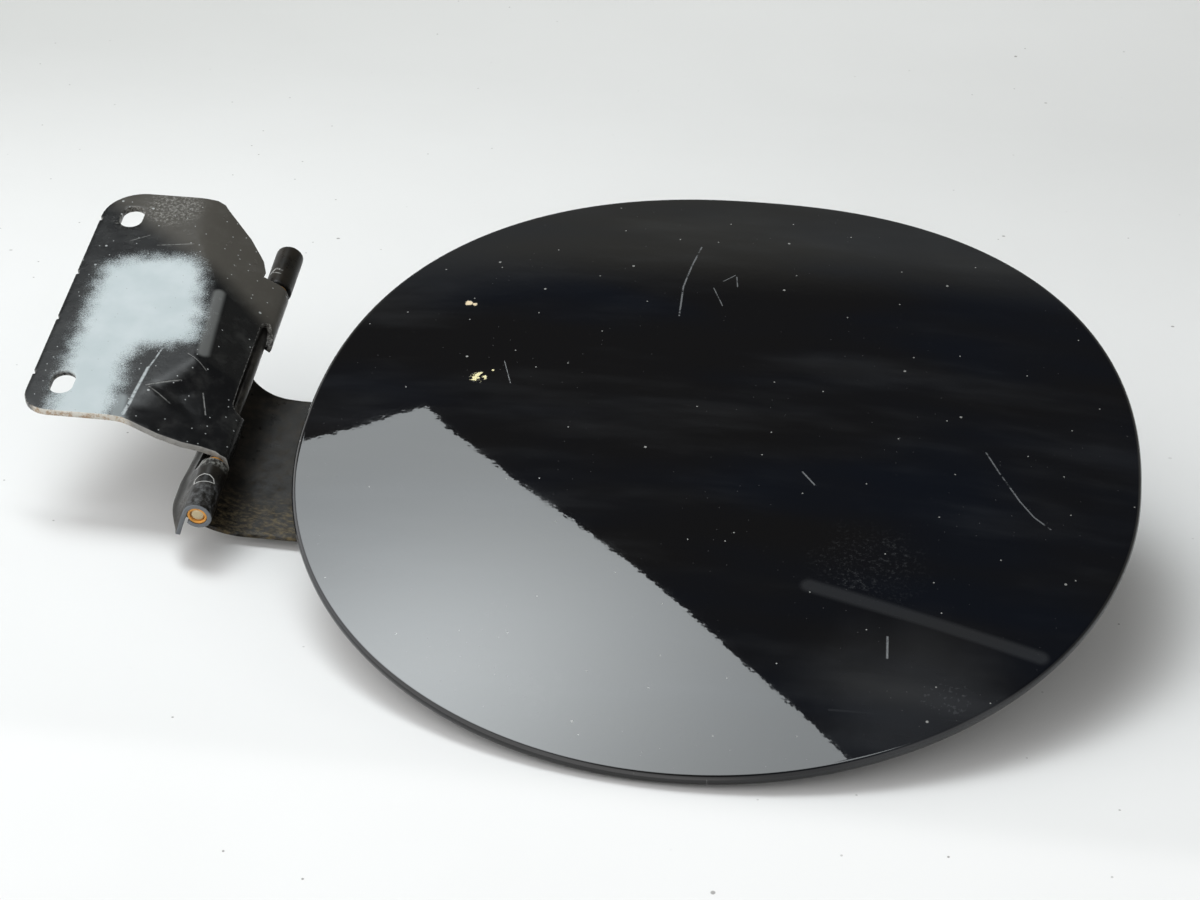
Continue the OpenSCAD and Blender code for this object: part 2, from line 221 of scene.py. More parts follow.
def outer_skin():
    profile = [(d, dome(d)) for d in HALF_A * (1 - np.linspace(0.03, 0.95, 42))]
    profile += [(d, dome(d)) for d in (3.2, 2.4, 1.8, 1.45, 1.25)] + hem_round()
    back = dome(0) - HEM_H
    profile += [(3.2, back + 0.16), (HEM_W - 0.15, back + 0.3), (HEM_W, back + 0.42), (HEM_W, back + SKIN_T)]
    profile += [(1.3, back + SKIN_T), (1.2, dome(1.2) - SKIN_T), (HEM_W, dome(HEM_W) - SKIN_T)]
    profile += [(d, dome(d) - SKIN_T) for d in HALF_A * (1 - np.array([0.85, 0.7, 0.5, 0.25]))]
    points, faces = ring_stack(profile, dome(HALF_A), dome(HALF_A) - SKIN_T)
    return make_piece("outer_skin", points, faces, "door", ["outer_panel"])


skin = outer_skin()

# %% [markdown]
# ## The inner panel
#
# The inner panel stiffens the door. It is a shallow pan: a flange clamped inside the hem, a wall
# that goes down to a flat floor for the arm's weld, and a middle raised again against drumming. It
# is hidden in the photograph, so it is kept as plain as such panels are.

# %% Inner panel
def soften(path, reach, step=0.6):
    """A path of (inset, height) corners with every corner rounded, by running an average along it."""
    path = np.array(path, float)
    run = np.concatenate([[0], np.cumsum(np.hypot(*np.diff(path, axis=0).T))])
    at = np.linspace(0, run[-1], max(2, int(run[-1] / step)))
    taps = np.linspace(-1, 1, 9)
    room = np.minimum(reach, np.minimum(at, run[-1] - at))
    d = np.mean([np.interp(at + t * room, run, path[:, 0]) for t in taps], axis=0)
    z = np.mean([np.interp(at + t * room, run, path[:, 1]) for t in taps], axis=0)
    return list(zip(d, z))


def inner_pan():
    middle = FLOOR_TOP + MIDDLE_RISE
    flange = SKIN_T + SEAT
    sheet = 0.97 * INNER_T
    corners = [(HALF_A * 0.97, middle), (MIDDLE_IN + RAMP_W - 0.6, middle), (MIDDLE_IN + 0.6, FLOOR_TOP),
               (WALL_IN - 0.6, FLOOR_TOP), (8.6, dome(8.6) - flange), (1.35, dome(1.35) - flange - 0.01)]
    top = soften(corners, 1.6)
    bottom = []
    for i, (d, z) in enumerate(top):
        a, b = top[max(0, i - 1)], top[min(len(top) - 1, i + 1)]
        run, rise = b[0] - a[0], b[1] - a[1]
        long = math.hypot(run, rise)
        bottom.append((d - sheet * rise / long, z + sheet * run / long))
    bottom[0] = (top[0][0], top[0][1] - sheet)
    points, faces = ring_stack(top + bottom[::-1], middle, middle - sheet)
    return make_piece("inner_pan", points, faces, "door", ["inner_panel"])


pan = inner_pan()

# %% [markdown]
# ## Sheet metal from a flat blank
#
# The arm and the bracket are stamped: a flat blank is cut out, and then bent, curled and pressed.
# The helper below follows the same order. It takes the blank's outline in flat sheet coordinates, a
# distance s across the hinge line and y along it, fills it with a fine net of triangles, and asks a
# placing function where each point of the sheet ends up. The cut edge gets a small round, because a
# bare knife edge never catches the light the way a real stamped edge does.

# %% Flat outline tools
def even_steps(loop, step):
    """A closed outline with no side longer than the step."""
    out = []
    loop = [tuple(p) for p in loop]
    for a, b in zip(loop, loop[1:] + loop[:1]):
        n = max(1, math.ceil(math.dist(a, b) / step))
        out += [(a[0] + (b[0] - a[0]) * i / n, a[1] + (b[1] - a[1]) * i / n) for i in range(n)]
    return np.array(out)


def outward(loop):
    """The outward direction at each point of an outline that runs counter-clockwise round the metal."""
    before, after = np.roll(loop, 1, axis=0), np.roll(loop, -1, axis=0)
    a, b = loop - before, after - loop
    a /= np.linalg.norm(a, axis=1)[:, None]
    b /= np.linalg.norm(b, axis=1)[:, None]
    n = np.column_stack([a[:, 1] + b[:, 1], -a[:, 0] - b[:, 0]])
    long = np.linalg.norm(n, axis=1)
    n /= long[:, None]
    return n * np.minimum(1.4, 2 / np.maximum(long, 0.1))[:, None]


def area(loop):
    x, y = loop[:, 0], loop[:, 1]
    return 0.5 * np.sum(x * np.roll(y, -1) - np.roll(x, -1) * y)


def inside(points, loops):
    """True where a point lies in the metal: inside the outline and outside its holes."""
    flip = np.zeros(len(points), bool)
    for loop in loops:
        for (x0, y0), (x1, y1) in zip(loop, np.roll(loop, -1, axis=0)):
            if y0 != y1:
                hit = ((y0 > points[:, 1]) != (y1 > points[:, 1])) & (
                    points[:, 0] < (x1 - x0) * (points[:, 1] - y0) / (y1 - y0) + x0)
                flip ^= hit
    return flip


print("a blank 10 mm square has", area(np.array([(0, 0), (10, 0), (10, 10), (0, 10)])), "square mm of metal")


# %% From blank to pressed sheet
def pressed_sheet(outline, holes, place, thick, s_lines, y_lines, edge_step=0.8, edge_r=0.22):
    """Points and faces of a pressed sheet. place(s, y, depth) gives the point that far under its face."""
    loops = []
    for i, loop in enumerate([outline] + list(holes)):
        loop = even_steps(loop, edge_step)
        if (area(loop) > 0) != (i == 0):
            loop = loop[::-1]
        loops.append(loop)
    normals = [outward(loop) for loop in loops]
    rims = [loop - n * edge_r for loop, n in zip(loops, normals)]
    net = np.array([(s, y) for s in s_lines for y in y_lines])
    net = net[inside(net, rims)]
    spacing = 0.45 * min(np.min(np.diff(s_lines)), np.min(np.diff(y_lines)))
    rim_points = np.vstack(rims)
    keep = np.array([np.min(np.hypot(*(rim_points - p).T)) > spacing for p in net])
    flat = np.vstack([rim_points, net[keep]])
    edges, start = [], 0
    for rim in rims:
        n = len(rim)
        edges += [(start + i, start + (i + 1) % n) for i in range(n)]
        start += n
    made = geometry.delaunay_2d_cdt([Vector(p) for p in flat], edges, [], 0, 1e-6)
    flat = np.array([tuple(v) for v in made[0]])
    where = {}
    for i, sources in enumerate(made[3]):
        for source in sources:
            where[source] = i
    tris = np.array([f for f in made[2]])
    tris = tris[inside(flat[tris].mean(axis=1), rims)]
    count = len(flat)
    points = [place(flat[:, 0], flat[:, 1], 0.0), place(flat[:, 0], flat[:, 1], thick)]
    faces = [tuple(t) for t in tris] + [tuple(t + count)[::-1] for t in tris]
    total, start = 2 * count, 0
    turns = np.radians([22.5, 45, 67.5, 90])
    for rim, n in zip(rims, normals):
        m = len(rim)
        rows = [[where[start + i] for i in range(m)]]
        steps = [(math.sin(t), edge_r * (1 - math.cos(t))) for t in turns]
        steps += [(out, thick - depth) for out, depth in steps[::-1]]
        for out, depth in steps:
            ring = rim + n * edge_r * out
            points.append(place(ring[:, 0], ring[:, 1], depth))
            rows.append(list(range(total, total + m)))
            total += m
        rows.append([where[start + i] + count for i in range(m)])
        for a, b in zip(rows, rows[1:]):
            faces += [(a[i], b[i], b[(i + 1) % m], a[(i + 1) % m]) for i in range(m)]
        start += m
    return np.vstack(points), faces, 2 * count


def thicken(surface):
    """A placing function from a face surface(s, y): depth goes square into the sheet."""
    def place(s, y, depth):
        s, y = np.asarray(s, float), np.asarray(y, float)
        at = surface(s, y)
        along_s = surface(s + 0.02, y) - surface(s - 0.02, y)
        along_y = surface(s, y + 0.02) - surface(s, y - 0.02)
        n = np.cross(along_s, along_y)
        n /= np.linalg.norm(n, axis=1)[:, None]
        return at - n * depth
    return place


# %% [markdown]
# ## The gooseneck arm
#
# The arm is one stamping. From the two rolled knuckles the sheet leans down, bends outward and then
# swings under the hinge in a wide gooseneck, so that the body panel's edge can pass inside it when
# the door opens. It rises again to a pad that is spot-welded to the inner panel. At both ends of the
# hinge the bend opens out into a short, straight tab. The path across the hinge is worked out once
# as a fine line, and the bend fades into the straight tab as a share from one to nought.

# %% The arm's path across the hinge
def heading(deg):
    return np.array([math.cos(math.radians(deg)), math.sin(math.radians(deg))])


def arm_path():
    """Mid-sheet line of the arm from the knuckle's tangent to the end of its pad."""
    line = []
    h0, tangent = 270 - LEAN, 180 - LEAN
    p0 = ARM_R * heading(tangent)
    p1 = p0 + DROP_LEN * heading(h0)
    line += [p0 + (p1 - p0) * t for t in np.linspace(0, 1, 30, endpoint=False)]
    c1 = p1 + BACK_R * heading(tangent)
    h1 = h0 - BACK_TURN
    line += [c1 + BACK_R * heading(a) for a in np.linspace(h0 + 90, h1 + 90, 40, endpoint=False)]
    p2 = c1 + BACK_R * heading(h1 + 90)
    c2 = p2 + TOE_R * heading(h1 + 90)
    line += [c2 + TOE_R * heading(a) for a in np.linspace(h1 - 90, 180, 40, endpoint=False)]
    left = c2 - (TOE_R, 0)
    wide, deep = NECK_FLAT_X - left[0], NECK_Z + left[1]
    for t in np.linspace(0, math.pi / 2, 160, endpoint=False):
        line.append(np.array([NECK_FLAT_X - wide * math.cos(t), left[1] - deep * math.sin(t) ** 1.5]))
    line += [np.array([x, -NECK_Z]) for x in np.linspace(NECK_FLAT_X, RISE_X, 60, endpoint=False)]
    pad_z = EDGE_Z - FLOOR_DROP - ARM_T / 2
    c3 = np.array([RISE_X, -NECK_Z + RISE_R])
    line += [c3 + RISE_R * heading(a) for a in np.linspace(-90, RISE_TURN - 90, 50, endpoint=False)]
    p4 = c3 + RISE_R * heading(RISE_TURN - 90)
    climb = pad_z + NECK_Z - 2 * RISE_R * (1 - math.cos(math.radians(RISE_TURN)))
    p5 = p4 + climb / math.sin(math.radians(RISE_TURN)) * heading(RISE_TURN)
    line += [p4 + (p5 - p4) * t for t in np.linspace(0, 1, 20, endpoint=False)]
    c4 = p5 + RISE_R * heading(RISE_TURN - 90)
    line += [c4 + RISE_R * heading(a) for a in np.linspace(RISE_TURN + 90, 90, 50, endpoint=False)]
    line += [np.array([x, pad_z]) for x in np.linspace(c4[0], PAD_X, 60)]
    line = np.array(line)
    run = np.concatenate([[0], np.cumsum(np.hypot(*np.diff(line, axis=0).T))])
    return line, run


ARM_LINE, ARM_RUN = arm_path()
ARM_START = ARM_LINE[0]
CURL_LEN = ARM_R * math.radians(301.5)
print("the arm's strip is", round(ARM_RUN[-1] + CURL_LEN, 1), "mm long when flat")


def run_at(x):
    """Length along the arm where its lower branch crosses this distance from the pin."""
    low = int(np.argmin(ARM_LINE[:200, 0]))
    return float(np.interp(x, ARM_LINE[low:, 0], ARM_RUN[low:]))


# %% Where each point of the arm's blank goes
def bend_share(y):
    """One in the middle of the bar, fading to nought where the end tabs are straight."""
    near, far = (ARM_Y0 - y) / NEAR_BLEND, (y - ARM_Y1 - FAR_HOLD) / (FAR_BLEND - FAR_HOLD)
    u = 1 - np.clip(np.maximum(near, far), 0, 1)
    return u * u * (3 - 2 * u)


def arm_middle(s, y):
    """Where the middle of the sheet goes. The bar bulges a little between the knuckle and its free edge."""
    share = bend_share(y)
    ahead = np.maximum(s, 0)
    bent_x = np.interp(ahead, ARM_RUN, ARM_LINE[:, 0]) + np.maximum(s - ARM_RUN[-1], 0)
    bent_z = np.interp(ahead, ARM_RUN, ARM_LINE[:, 1])
    straight = heading(270 - LEAN)
    x = share * bent_x + (1 - share) * (ARM_START[0] + ahead * straight[0])
    z = share * bent_z + (1 - share) * (ARM_START[1] + ahead * straight[1])
    fade = np.clip((-20 - y) / 10, 0, 1) * np.clip((y + HALF_HINGE) / 5, 0, 1)
    bulge = BULGE * np.sin(np.pi * np.clip(s / 9.5, 0, 1)) ** 1.3 * fade
    x = x + bulge * heading(180 - LEAN)[0]
    z = z + bulge * heading(180 - LEAN)[1]
    turn = math.radians(180 - LEAN) + np.minimum(s, 0) / ARM_R
    x = np.where(s < 0, ARM_R * np.cos(turn), x)
    z = np.where(s < 0, ARM_R * np.sin(turn), z)
    return np.column_stack([x, y, z])


def arm_face(s, y):
    """The face that looks away from the pin, half a sheet off the middle."""
    along_s = arm_middle(s + 0.05, y) - arm_middle(s - 0.05, y)
    along_y = arm_middle(s, y + 0.05) - arm_middle(s, y - 0.05)
    n = np.cross(along_y, along_s)
    n /= np.linalg.norm(n, axis=1)[:, None]
    return arm_middle(s, y) + n * ARM_T / 2, n


def arm_place(s, y, depth):
    s, y = np.asarray(s, float), np.asarray(y, float)
    at, n = arm_face(s, y)
    return at - n * depth


ends = np.array([-HALF_HINGE, 0.0, HALF_HINGE])
print("share of the bend at the near end, in the middle and at the far end:", bend_share(ends))


# %% The arm's blank and the pressed arm
FAR_FILLET = [(0.0, run_at(10)), (0.1, run_at(8)), (0.3, run_at(6.2)), (0.8, run_at(3.3)), (1.5, run_at(1.1)),
              (2.5, run_at(-0.9)), (3.8, run_at(-2.6)), (5.3, run_at(-4.4)), (7.0, 11.5), (8.6, 8.8),
              (FAR_BLEND, TAB_LEN)]
NEAR_FULL = run_at(-4.2)


def bar_end(y):
    """Where the bar's free edge lies, from the straight tab's end out to the arm."""
    if y > ARM_Y1:
        return float(np.interp(y - ARM_Y1, *zip(*FAR_FILLET)))
    u = 1 - min(1, (ARM_Y0 - y) / NEAR_BLEND)
    return TAB_LEN + (NEAR_FULL - TAB_LEN) * (1 - math.sqrt(max(0, 1 - u * u)))


def arm_blank():
    root, tongue, end = 2.65, 0.2, ARM_RUN[-1]
    near, far = -HALF_HINGE, HALF_HINGE
    loop = [(-CURL_LEN, near + 0.02), (TAB_LEN - 1.0, near + 0.02), (TAB_LEN, near + 1.0)]
    loop += [(bar_end(y), y) for y in np.linspace(near + 1.1, ARM_Y0 - 0.02, 26)]
    loop += [(end - 6, ARM_Y0), (end, ARM_Y0 + 5.3), (end, ARM_Y1 - 5.3), (end - 6, ARM_Y1)]
    loop += [(bar_end(y), y) for y in np.linspace(ARM_Y1 + 0.02, ARM_Y1 + FAR_BLEND, 26)]
    loop += [(TAB_LEN, far - 1.0), (TAB_LEN - 1.0, far - 0.02), (-CURL_LEN, far - 0.02)]
    loop += [(-CURL_LEN, FAR_IN), (root - 0.6, FAR_IN), (root, FAR_IN - 0.6)]
    loop += [(root, FAR_B0 - 0.2), (root - 0.4, FAR_B0 - 0.6), (root - 0.5, FAR_B0 - 3.2),
             (tongue, FAR_B0 - 3.2)]
    loop += [(tongue, NEAR_B1 + 0.6), (root - 0.4, NEAR_B1 + 0.6), (root, NEAR_B1 + 0.2)]
    loop += [(root, NEAR_IN + 0.6), (root - 0.6, NEAR_IN), (-CURL_LEN, NEAR_IN)]
    return loop


def gooseneck_arm():
    bent = run_at(NECK_FLAT_X)
    s_lines = np.concatenate([np.arange(-CURL_LEN, 0, 0.42), np.arange(0, bent, 0.55),
                              np.arange(bent + 0.6, ARM_RUN[-1], 1.2)])
    y_lines = np.arange(-HALF_HINGE, HALF_HINGE, 1.1)
    points, faces, rim = pressed_sheet(arm_blank(), [], arm_place, ARM_T, s_lines, y_lines)
    return make_piece("gooseneck_arm", points, faces, "door", ["hinge_arm"]), rim


arm, arm_rim = gooseneck_arm()

# %% [markdown]
# ## The body bracket
#
# The bracket is bolted behind the body panel. Its flat plate turns down in a pressed web that runs
# into two knuckles rolled round the pin. Near the outer ends the fold starts further out, in the
# middle it is short and steep, so the fold line is a table of distances and the face is the lower of
# the plate and the web, blended where they meet.

# %% The bracket's face
TAN_X, TAN_Z = 1.68, 2.49
KNUCKLE_R = PIN_R + PLATE_T
FOLD_Y = [-60, -27, -21, -5, 19, 41, 60]
FOLD_X = [21, 21, 19, 8, 8.8, 17, 20]


def soft_min(a, b, r):
    h = np.maximum(r - np.abs(a - b), 0) / r
    return np.minimum(a, b) - h * h * r / 4


def gusset(x, y):
    """Depth of the small three-sided dent that stiffens the fold near the knuckle."""
    along, across = x + 17.3, y + 14.6 + 0.087 * (x + 17.3)
    wedge = np.clip(0.49 * along - np.abs(across), 0, 2.2)
    return 0.24 * wedge * np.clip((12.5 - along) / 5.5, 0, 1)


def plate_top(x, y):
    fold = np.interp(y, FOLD_Y, FOLD_X)
    web = TAN_Z + (TAN_X - x) * (PLATE_Z - TAN_Z) / (TAN_X + fold)
    return soft_min(PLATE_Z, web, 1.2) - gusset(x, y)


def bracket_line(s, y):
    """The face before its corners are eased: plate and web, then the curl round the pin."""
    turn = math.atan2(TAN_Z, TAN_X) - (s - TAN_X) / KNUCKLE_R
    x = np.where(s < TAN_X, s, KNUCKLE_R * np.cos(turn))
    z = np.where(s < TAN_X, plate_top(np.minimum(s, TAN_X), y), KNUCKLE_R * np.sin(turn))
    return np.column_stack([x, y, z])


def bracket_face(s, y):
    reach = 1.3 * np.clip(1 - np.abs(s - TAN_X) / 3, 0, 1)
    taps = np.linspace(-1, 1, 7)
    return np.mean([bracket_line(s + t * reach, y) for t in taps], axis=0)


print("the plate lies", round(float(plate_top(-PLATE_X, 0.0)), 2), "mm above the middle of the pin")


# %% The bracket's blank and the pressed bracket
CURL_END = TAN_X + KNUCKLE_R * (math.atan2(TAN_Z, TAN_X) + math.radians(145))


def corner(cx, cy, r, a0, a1, steps=8):
    return [(cx + r * math.cos(math.radians(a)), cy + r * math.sin(math.radians(a)))
            for a in np.linspace(a0, a1, steps)]


def knuckle_end(y0, y1):
    """The free end of a knuckle's strip, its two corners cut off."""
    return [(CURL_END - 0.6, y0), (CURL_END, y0 + 0.6), (CURL_END, y1 - 0.6), (CURL_END - 0.6, y1)]


NICKS = (41.0, 21.3, 5.3, -13.4)


def bracket_blank():
    x0, y0, y1, r, rf = -PLATE_X, PLATE_Y0, PLATE_Y1, NEAR_CORNER, FAR_CORNER
    loop = corner(x0 + r, y0 + r, r, 180, 270)
    loop += [(-20, y0), (-16, y0 - 0.9), (-12, y0 - 1.7), (-7, y0 - 2), (-3, y0 - 1.6), (0, y0 - 1.7)]
    loop += [(1.2, y0 - 2.3), (2.6, y0 - 2.2), (3.8, y0 - 3.0), (5.5, y0 - 2.9), (7, y0 - 3.1), (9, NEAR_B0)]
    loop += knuckle_end(NEAR_B0, NEAR_B1)
    loop += [(8, NEAR_B1), (6, NEAR_B1 - 0.9), (4, NEAR_B1 - 1.7)]
    loop += corner(3.0, NEAR_B1 + 0.6, 2.7, 270, 180) + corner(2.6, FAR_B0 - 0.4, 2.3, 180, 110)
    loop += [(5, FAR_B0 - 2.6), (6.6, FAR_B0 - 2.8), (9, FAR_B0)]
    loop += knuckle_end(FAR_B0, FAR_B1)
    loop += [(9, FAR_B1), (7, FAR_B1 - 1.4), (5, FAR_B1 - 1.6), (2, FAR_B1 - 0.6), (-2.7, FAR_B1 + 0.1)]
    loop += [(-2.5, FAR_B1 + 1.8), (-3.7, FAR_B1 + 5.2), (-7.7, y1 - 9.7), (-14.2, y1 - 2.6)]
    loop += [(-15.6, y1 - 0.8), (-17.5, y1)]
    loop += corner(x0 + rf, y1 - rf, rf, 90, 180, 12)
    for y in NICKS:
        loop += [(x0, y + 0.9), (x0 + 0.45, y + 0.5), (x0 + 0.5, y - 0.3), (x0, y - 0.6)]
    return loop


def body_bracket():
    side = SLOT_LEN / 2 - SLOT_R
    holes = [corner(-BOLT_X, y + side, SLOT_R, 0, 180, 20) + corner(-BOLT_X, y - side, SLOT_R, 180, 360, 20)
             for y in BOLT_YS]
    s_lines = np.concatenate([np.arange(-PLATE_X, -24, 1.1), np.arange(-24, -1, 0.6),
                              np.arange(-0.6, CURL_END, 0.38)])
    y_lines = np.arange(PLATE_Y0 - 3, PLATE_Y1, 1.0)
    place = thicken(bracket_face)
    points, faces, rim = pressed_sheet(bracket_blank(), holes, place, PLATE_T, s_lines, y_lines)
    return make_piece("body_bracket", points, faces, "bracket", ["hinge_bracket"]), rim


bracket, bracket_rim = body_bracket()

# %% [markdown]
# ## Pin and bushes
#
# The pin is a straight steel rod with eased ends. In each knuckle of the arm it turns in a brass
# bush, and a little of the near bush shows beside its knuckle. All three are turned on a lathe, so
# each is a cross-section swept round the pin's axis.

# %% Turned pieces
def turned(name, profile, body, nodes, steps=56, closed=False):
    """A piece swept round the pin's axis from (place along the pin, radius) points."""
    points, faces = [], []
    turns = np.linspace(0, 2 * math.pi, steps, endpoint=False)
    for y, r in profile:
        points += [(r * math.cos(a), y, r * math.sin(a)) for a in turns]
    rows = len(profile)
    for i in range(rows if closed else rows - 1):
        a, b = i * steps, ((i + 1) % rows) * steps
        faces += [(a + j, a + (j + 1) % steps, b + (j + 1) % steps, b + j) for j in range(steps)]
    if not closed:
        faces += [tuple(range(steps)), tuple(range((rows - 1) * steps, rows * steps))]
    return make_piece(name, points, faces, body, nodes)


def bush_profile(y0, y1):
    r0, r1, c = PIN_R + PIN_FIT, BUSH_R, 0.12
    outer = [(y0, r0 + c), (y0, r1 - c), (y0 + c, r1), (y1 - c, r1)]
    return outer + [(y1, r1 - c), (y1, r0 + c), (y1 - c, r0), (y0 + c, r0)]


PIN_END = HALF_HINGE - 0.4
EASED_END = [(PIN_END - 0.35, PIN_R), (PIN_END - 0.1, 1.25), (PIN_END, 0.9)]
pin = turned("pin", [(-y, r) for y, r in EASED_END[::-1]] + EASED_END, "bracket", ["hinge_pin"])
near_bush = turned("bush_near", bush_profile(-HALF_HINGE + 0.2, NEAR_IN + BUSH_SHOW), "door",
                   ["near_bush"], closed=True)
far_bush = turned("bush_far", bush_profile(FAR_B1 + 0.1, HALF_HINGE - 0.2), "door",
                  ["far_bush"], closed=True)

# %% [markdown]
# ## The latch striker
#
# On the side away from the hinge the car's latch has to catch the door. Such doors have a small
# bent strip welded under the inner panel for that. The photograph doesn't show it, so it is the
# plainest one: a base, a leg, a foot and a short lip, bent from one strip.

# %% Latch striker
def striker_strip():
    top, t = EDGE_Z - FLOOR_DROP, STRIKER_T
    m = t / 2
    leg, toe, foot = STRIKER_X - m, STRIKER_X + STRIKER_FOOT - m, top - STRIKER_DROP
    corners = [(STRIKER_X - STRIKER_BASE, top - m), (leg, top - m), (leg, foot + m), (toe, foot + m),
               (toe, foot + STRIKER_LIP)]
    line = np.array(soften(corners, 1.0, 0.25))
    run = np.concatenate([[0], np.cumsum(np.hypot(*np.diff(line, axis=0).T))])

    def place(s, y, depth):
        def middle(q):
            return np.column_stack([np.interp(q, run, line[:, 0]), y, np.interp(q, run, line[:, 1])])
        s = np.clip(s, 0.03, run[-1] - 0.03)
        ahead = middle(s + 0.03) - middle(s - 0.03)
        n = np.column_stack([-ahead[:, 2], np.zeros(len(s)), ahead[:, 0]])
        n /= np.linalg.norm(n, axis=1)[:, None]
        return middle(s) + n * (t / 2 - depth)

    y0, y1 = PANEL_Y - STRIKER_W / 2, PANEL_Y + STRIKER_W / 2
    loop = [(0, y0), (run[-1], y0), (run[-1], y1), (0, y1)]
    return pressed_sheet(loop, [], place, t, np.arange(0.2, run[-1], 0.5), np.arange(y0, y1, 1.4),
                         edge_step=0.6, edge_r=0.2)


points, faces, rim = striker_strip()
striker = make_piece("striker", points, faces, "door", ["latch_striker"])

# %% [markdown]
# ## Camera
#
# The photograph was taken with a long lens from the near side, about 41 degrees above the door and
# 10 degrees round to the right. A long lens keeps the two halves of the round door nearly the same
# size, which is why makers photograph parts with one.

# %% Camera at the photograph's angle
CAMERA_AT = (165.69, -528.14, 454.19)
CAMERA_AHEAD, CAMERA_RIGHT = (-0.12487, 0.74434, -0.65602), (0.98872, 0.14845, -0.01976)


def photo_camera():
    ahead = Vector(CAMERA_AHEAD).normalized()
    right = Vector(CAMERA_RIGHT)
    right = (right - ahead * right.dot(ahead)).normalized()
    up = right.cross(ahead)
    data = bpy.data.cameras.new("long_lens")
    data.lens, data.sensor_width = 99, 36
    data.clip_start, data.clip_end = 0.05, 20
    camera = bpy.data.objects.new("long_lens", data)
    turn = Matrix((right, up, -ahead)).transposed()
    camera.matrix_world = Matrix.Translation(Vector(from_pin(CAMERA_AT))) @ turn.to_4x4()
    bpy.context.scene.collection.objects.link(camera)
    bpy.context.scene.camera = camera
    return camera


camera = photo_camera()
print("the camera stands", round(camera.location.length, 3), "m from the bracket")

# %% [markdown]
# ## Floor and light
#
# In the photograph the part lies on a white table with its near edge down, so the table runs down
# and away under it. The floor here does the same: level in front of the door, sloping under it, and
# level again behind. A large soft card overhead gives part of the light, and its straight edge is
# what shows as the pale, wavy-edged area in the paint. The rest comes from a bright room on the left
# and near side. Behind the door the room stays dim, so that the black paint stays black.

# %% Floor
FLOOR_LEVEL, FLOOR_FALL, FLOOR_TILT, LEVEL_X = 8.6, 0.30, 0.018, 105
SLOPE_Y0, SLOPE_Y1 = -122, 330


def slope_share(y):
    """Nought where the table lies level, one where it slopes under the part."""
    return np.clip((y - SLOPE_Y0) / 8, 0, 1) * np.clip((SLOPE_Y1 - y) / 60, 0, 1)


def pale_floor():
    ys = np.concatenate([[-3000, -1500, -600, -300, -160], np.arange(-130, -90, 2), np.arange(-90, 420, 30),
                         [600, 1200, 3000]])
    step = 0.5
    fine = np.arange(-130, 420, step)
    drop = np.concatenate([[0], np.cumsum(FLOOR_FALL * slope_share(fine[:-1]) * step)])
    zs = FLOOR_LEVEL - np.interp(ys, fine, drop)
    xs = [-3000, -600, 0, 300, 700, 3000]
    tilt = [FLOOR_TILT * (LEVEL_X - x) for x in xs]
    points = [(x, y, z + t) for x, t in zip(xs, tilt) for y, z in zip(ys, zs)]
    n = len(ys)
    faces = [(i * n + j, (i + 1) * n + j, (i + 1) * n + j + 1, i * n + j + 1)
             for i in range(len(xs) - 1) for j in range(n - 1)]
    mesh = bpy.data.meshes.new("floor")
    mesh.from_pydata([tuple(p) for p in from_pin(points)], [], faces)
    mesh.polygons.foreach_set("use_smooth", [True] * len(mesh.polygons))
    piece = bpy.data.objects.new("floor", mesh)
    bpy.context.scene.collection.objects.link(piece)
    piece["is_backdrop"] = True
    return piece


floor = pale_floor()
print("floor:", len(floor.data.vertices), "points")


# %% Light card
def light_card(name, corners):
    mesh = bpy.data.meshes.new(name)
    mesh.from_pydata([tuple(p) for p in from_pin(corners)], [], [tuple(range(len(corners)))])
    card = bpy.data.objects.new(name, mesh)
    bpy.context.scene.collection.objects.link(card)
    card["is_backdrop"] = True
    return card


CARD_Z = 900
CARD_EDGE = [(-353, 1081), (-209, 899), (-57, 726), (60, 588), (165, 474), (330, 270), (-560, 270),
             (-640, 700), (-620, 1006), (-483, 1043)]
overhead = light_card("overhead_card", [(x, y, CARD_Z) for x, y in CARD_EDGE])
overhead.visible_camera = False
print("the card hangs", CARD_Z, "mm above the pin, with", len(CARD_EDGE), "corners")

# %% [markdown]
# ## A short way to write a finish
#
# A finish is a net of small nodes that feeds one main shader. All patterns here are drawn in
# millimetres from the pin, so that a scratch or a chip has its real place and size on the metal, and
# stays there when the door swings. The helper below adds nodes with one short call each: noise, a
# soft step, a blend of two colours, a round spot, a straight scratch.

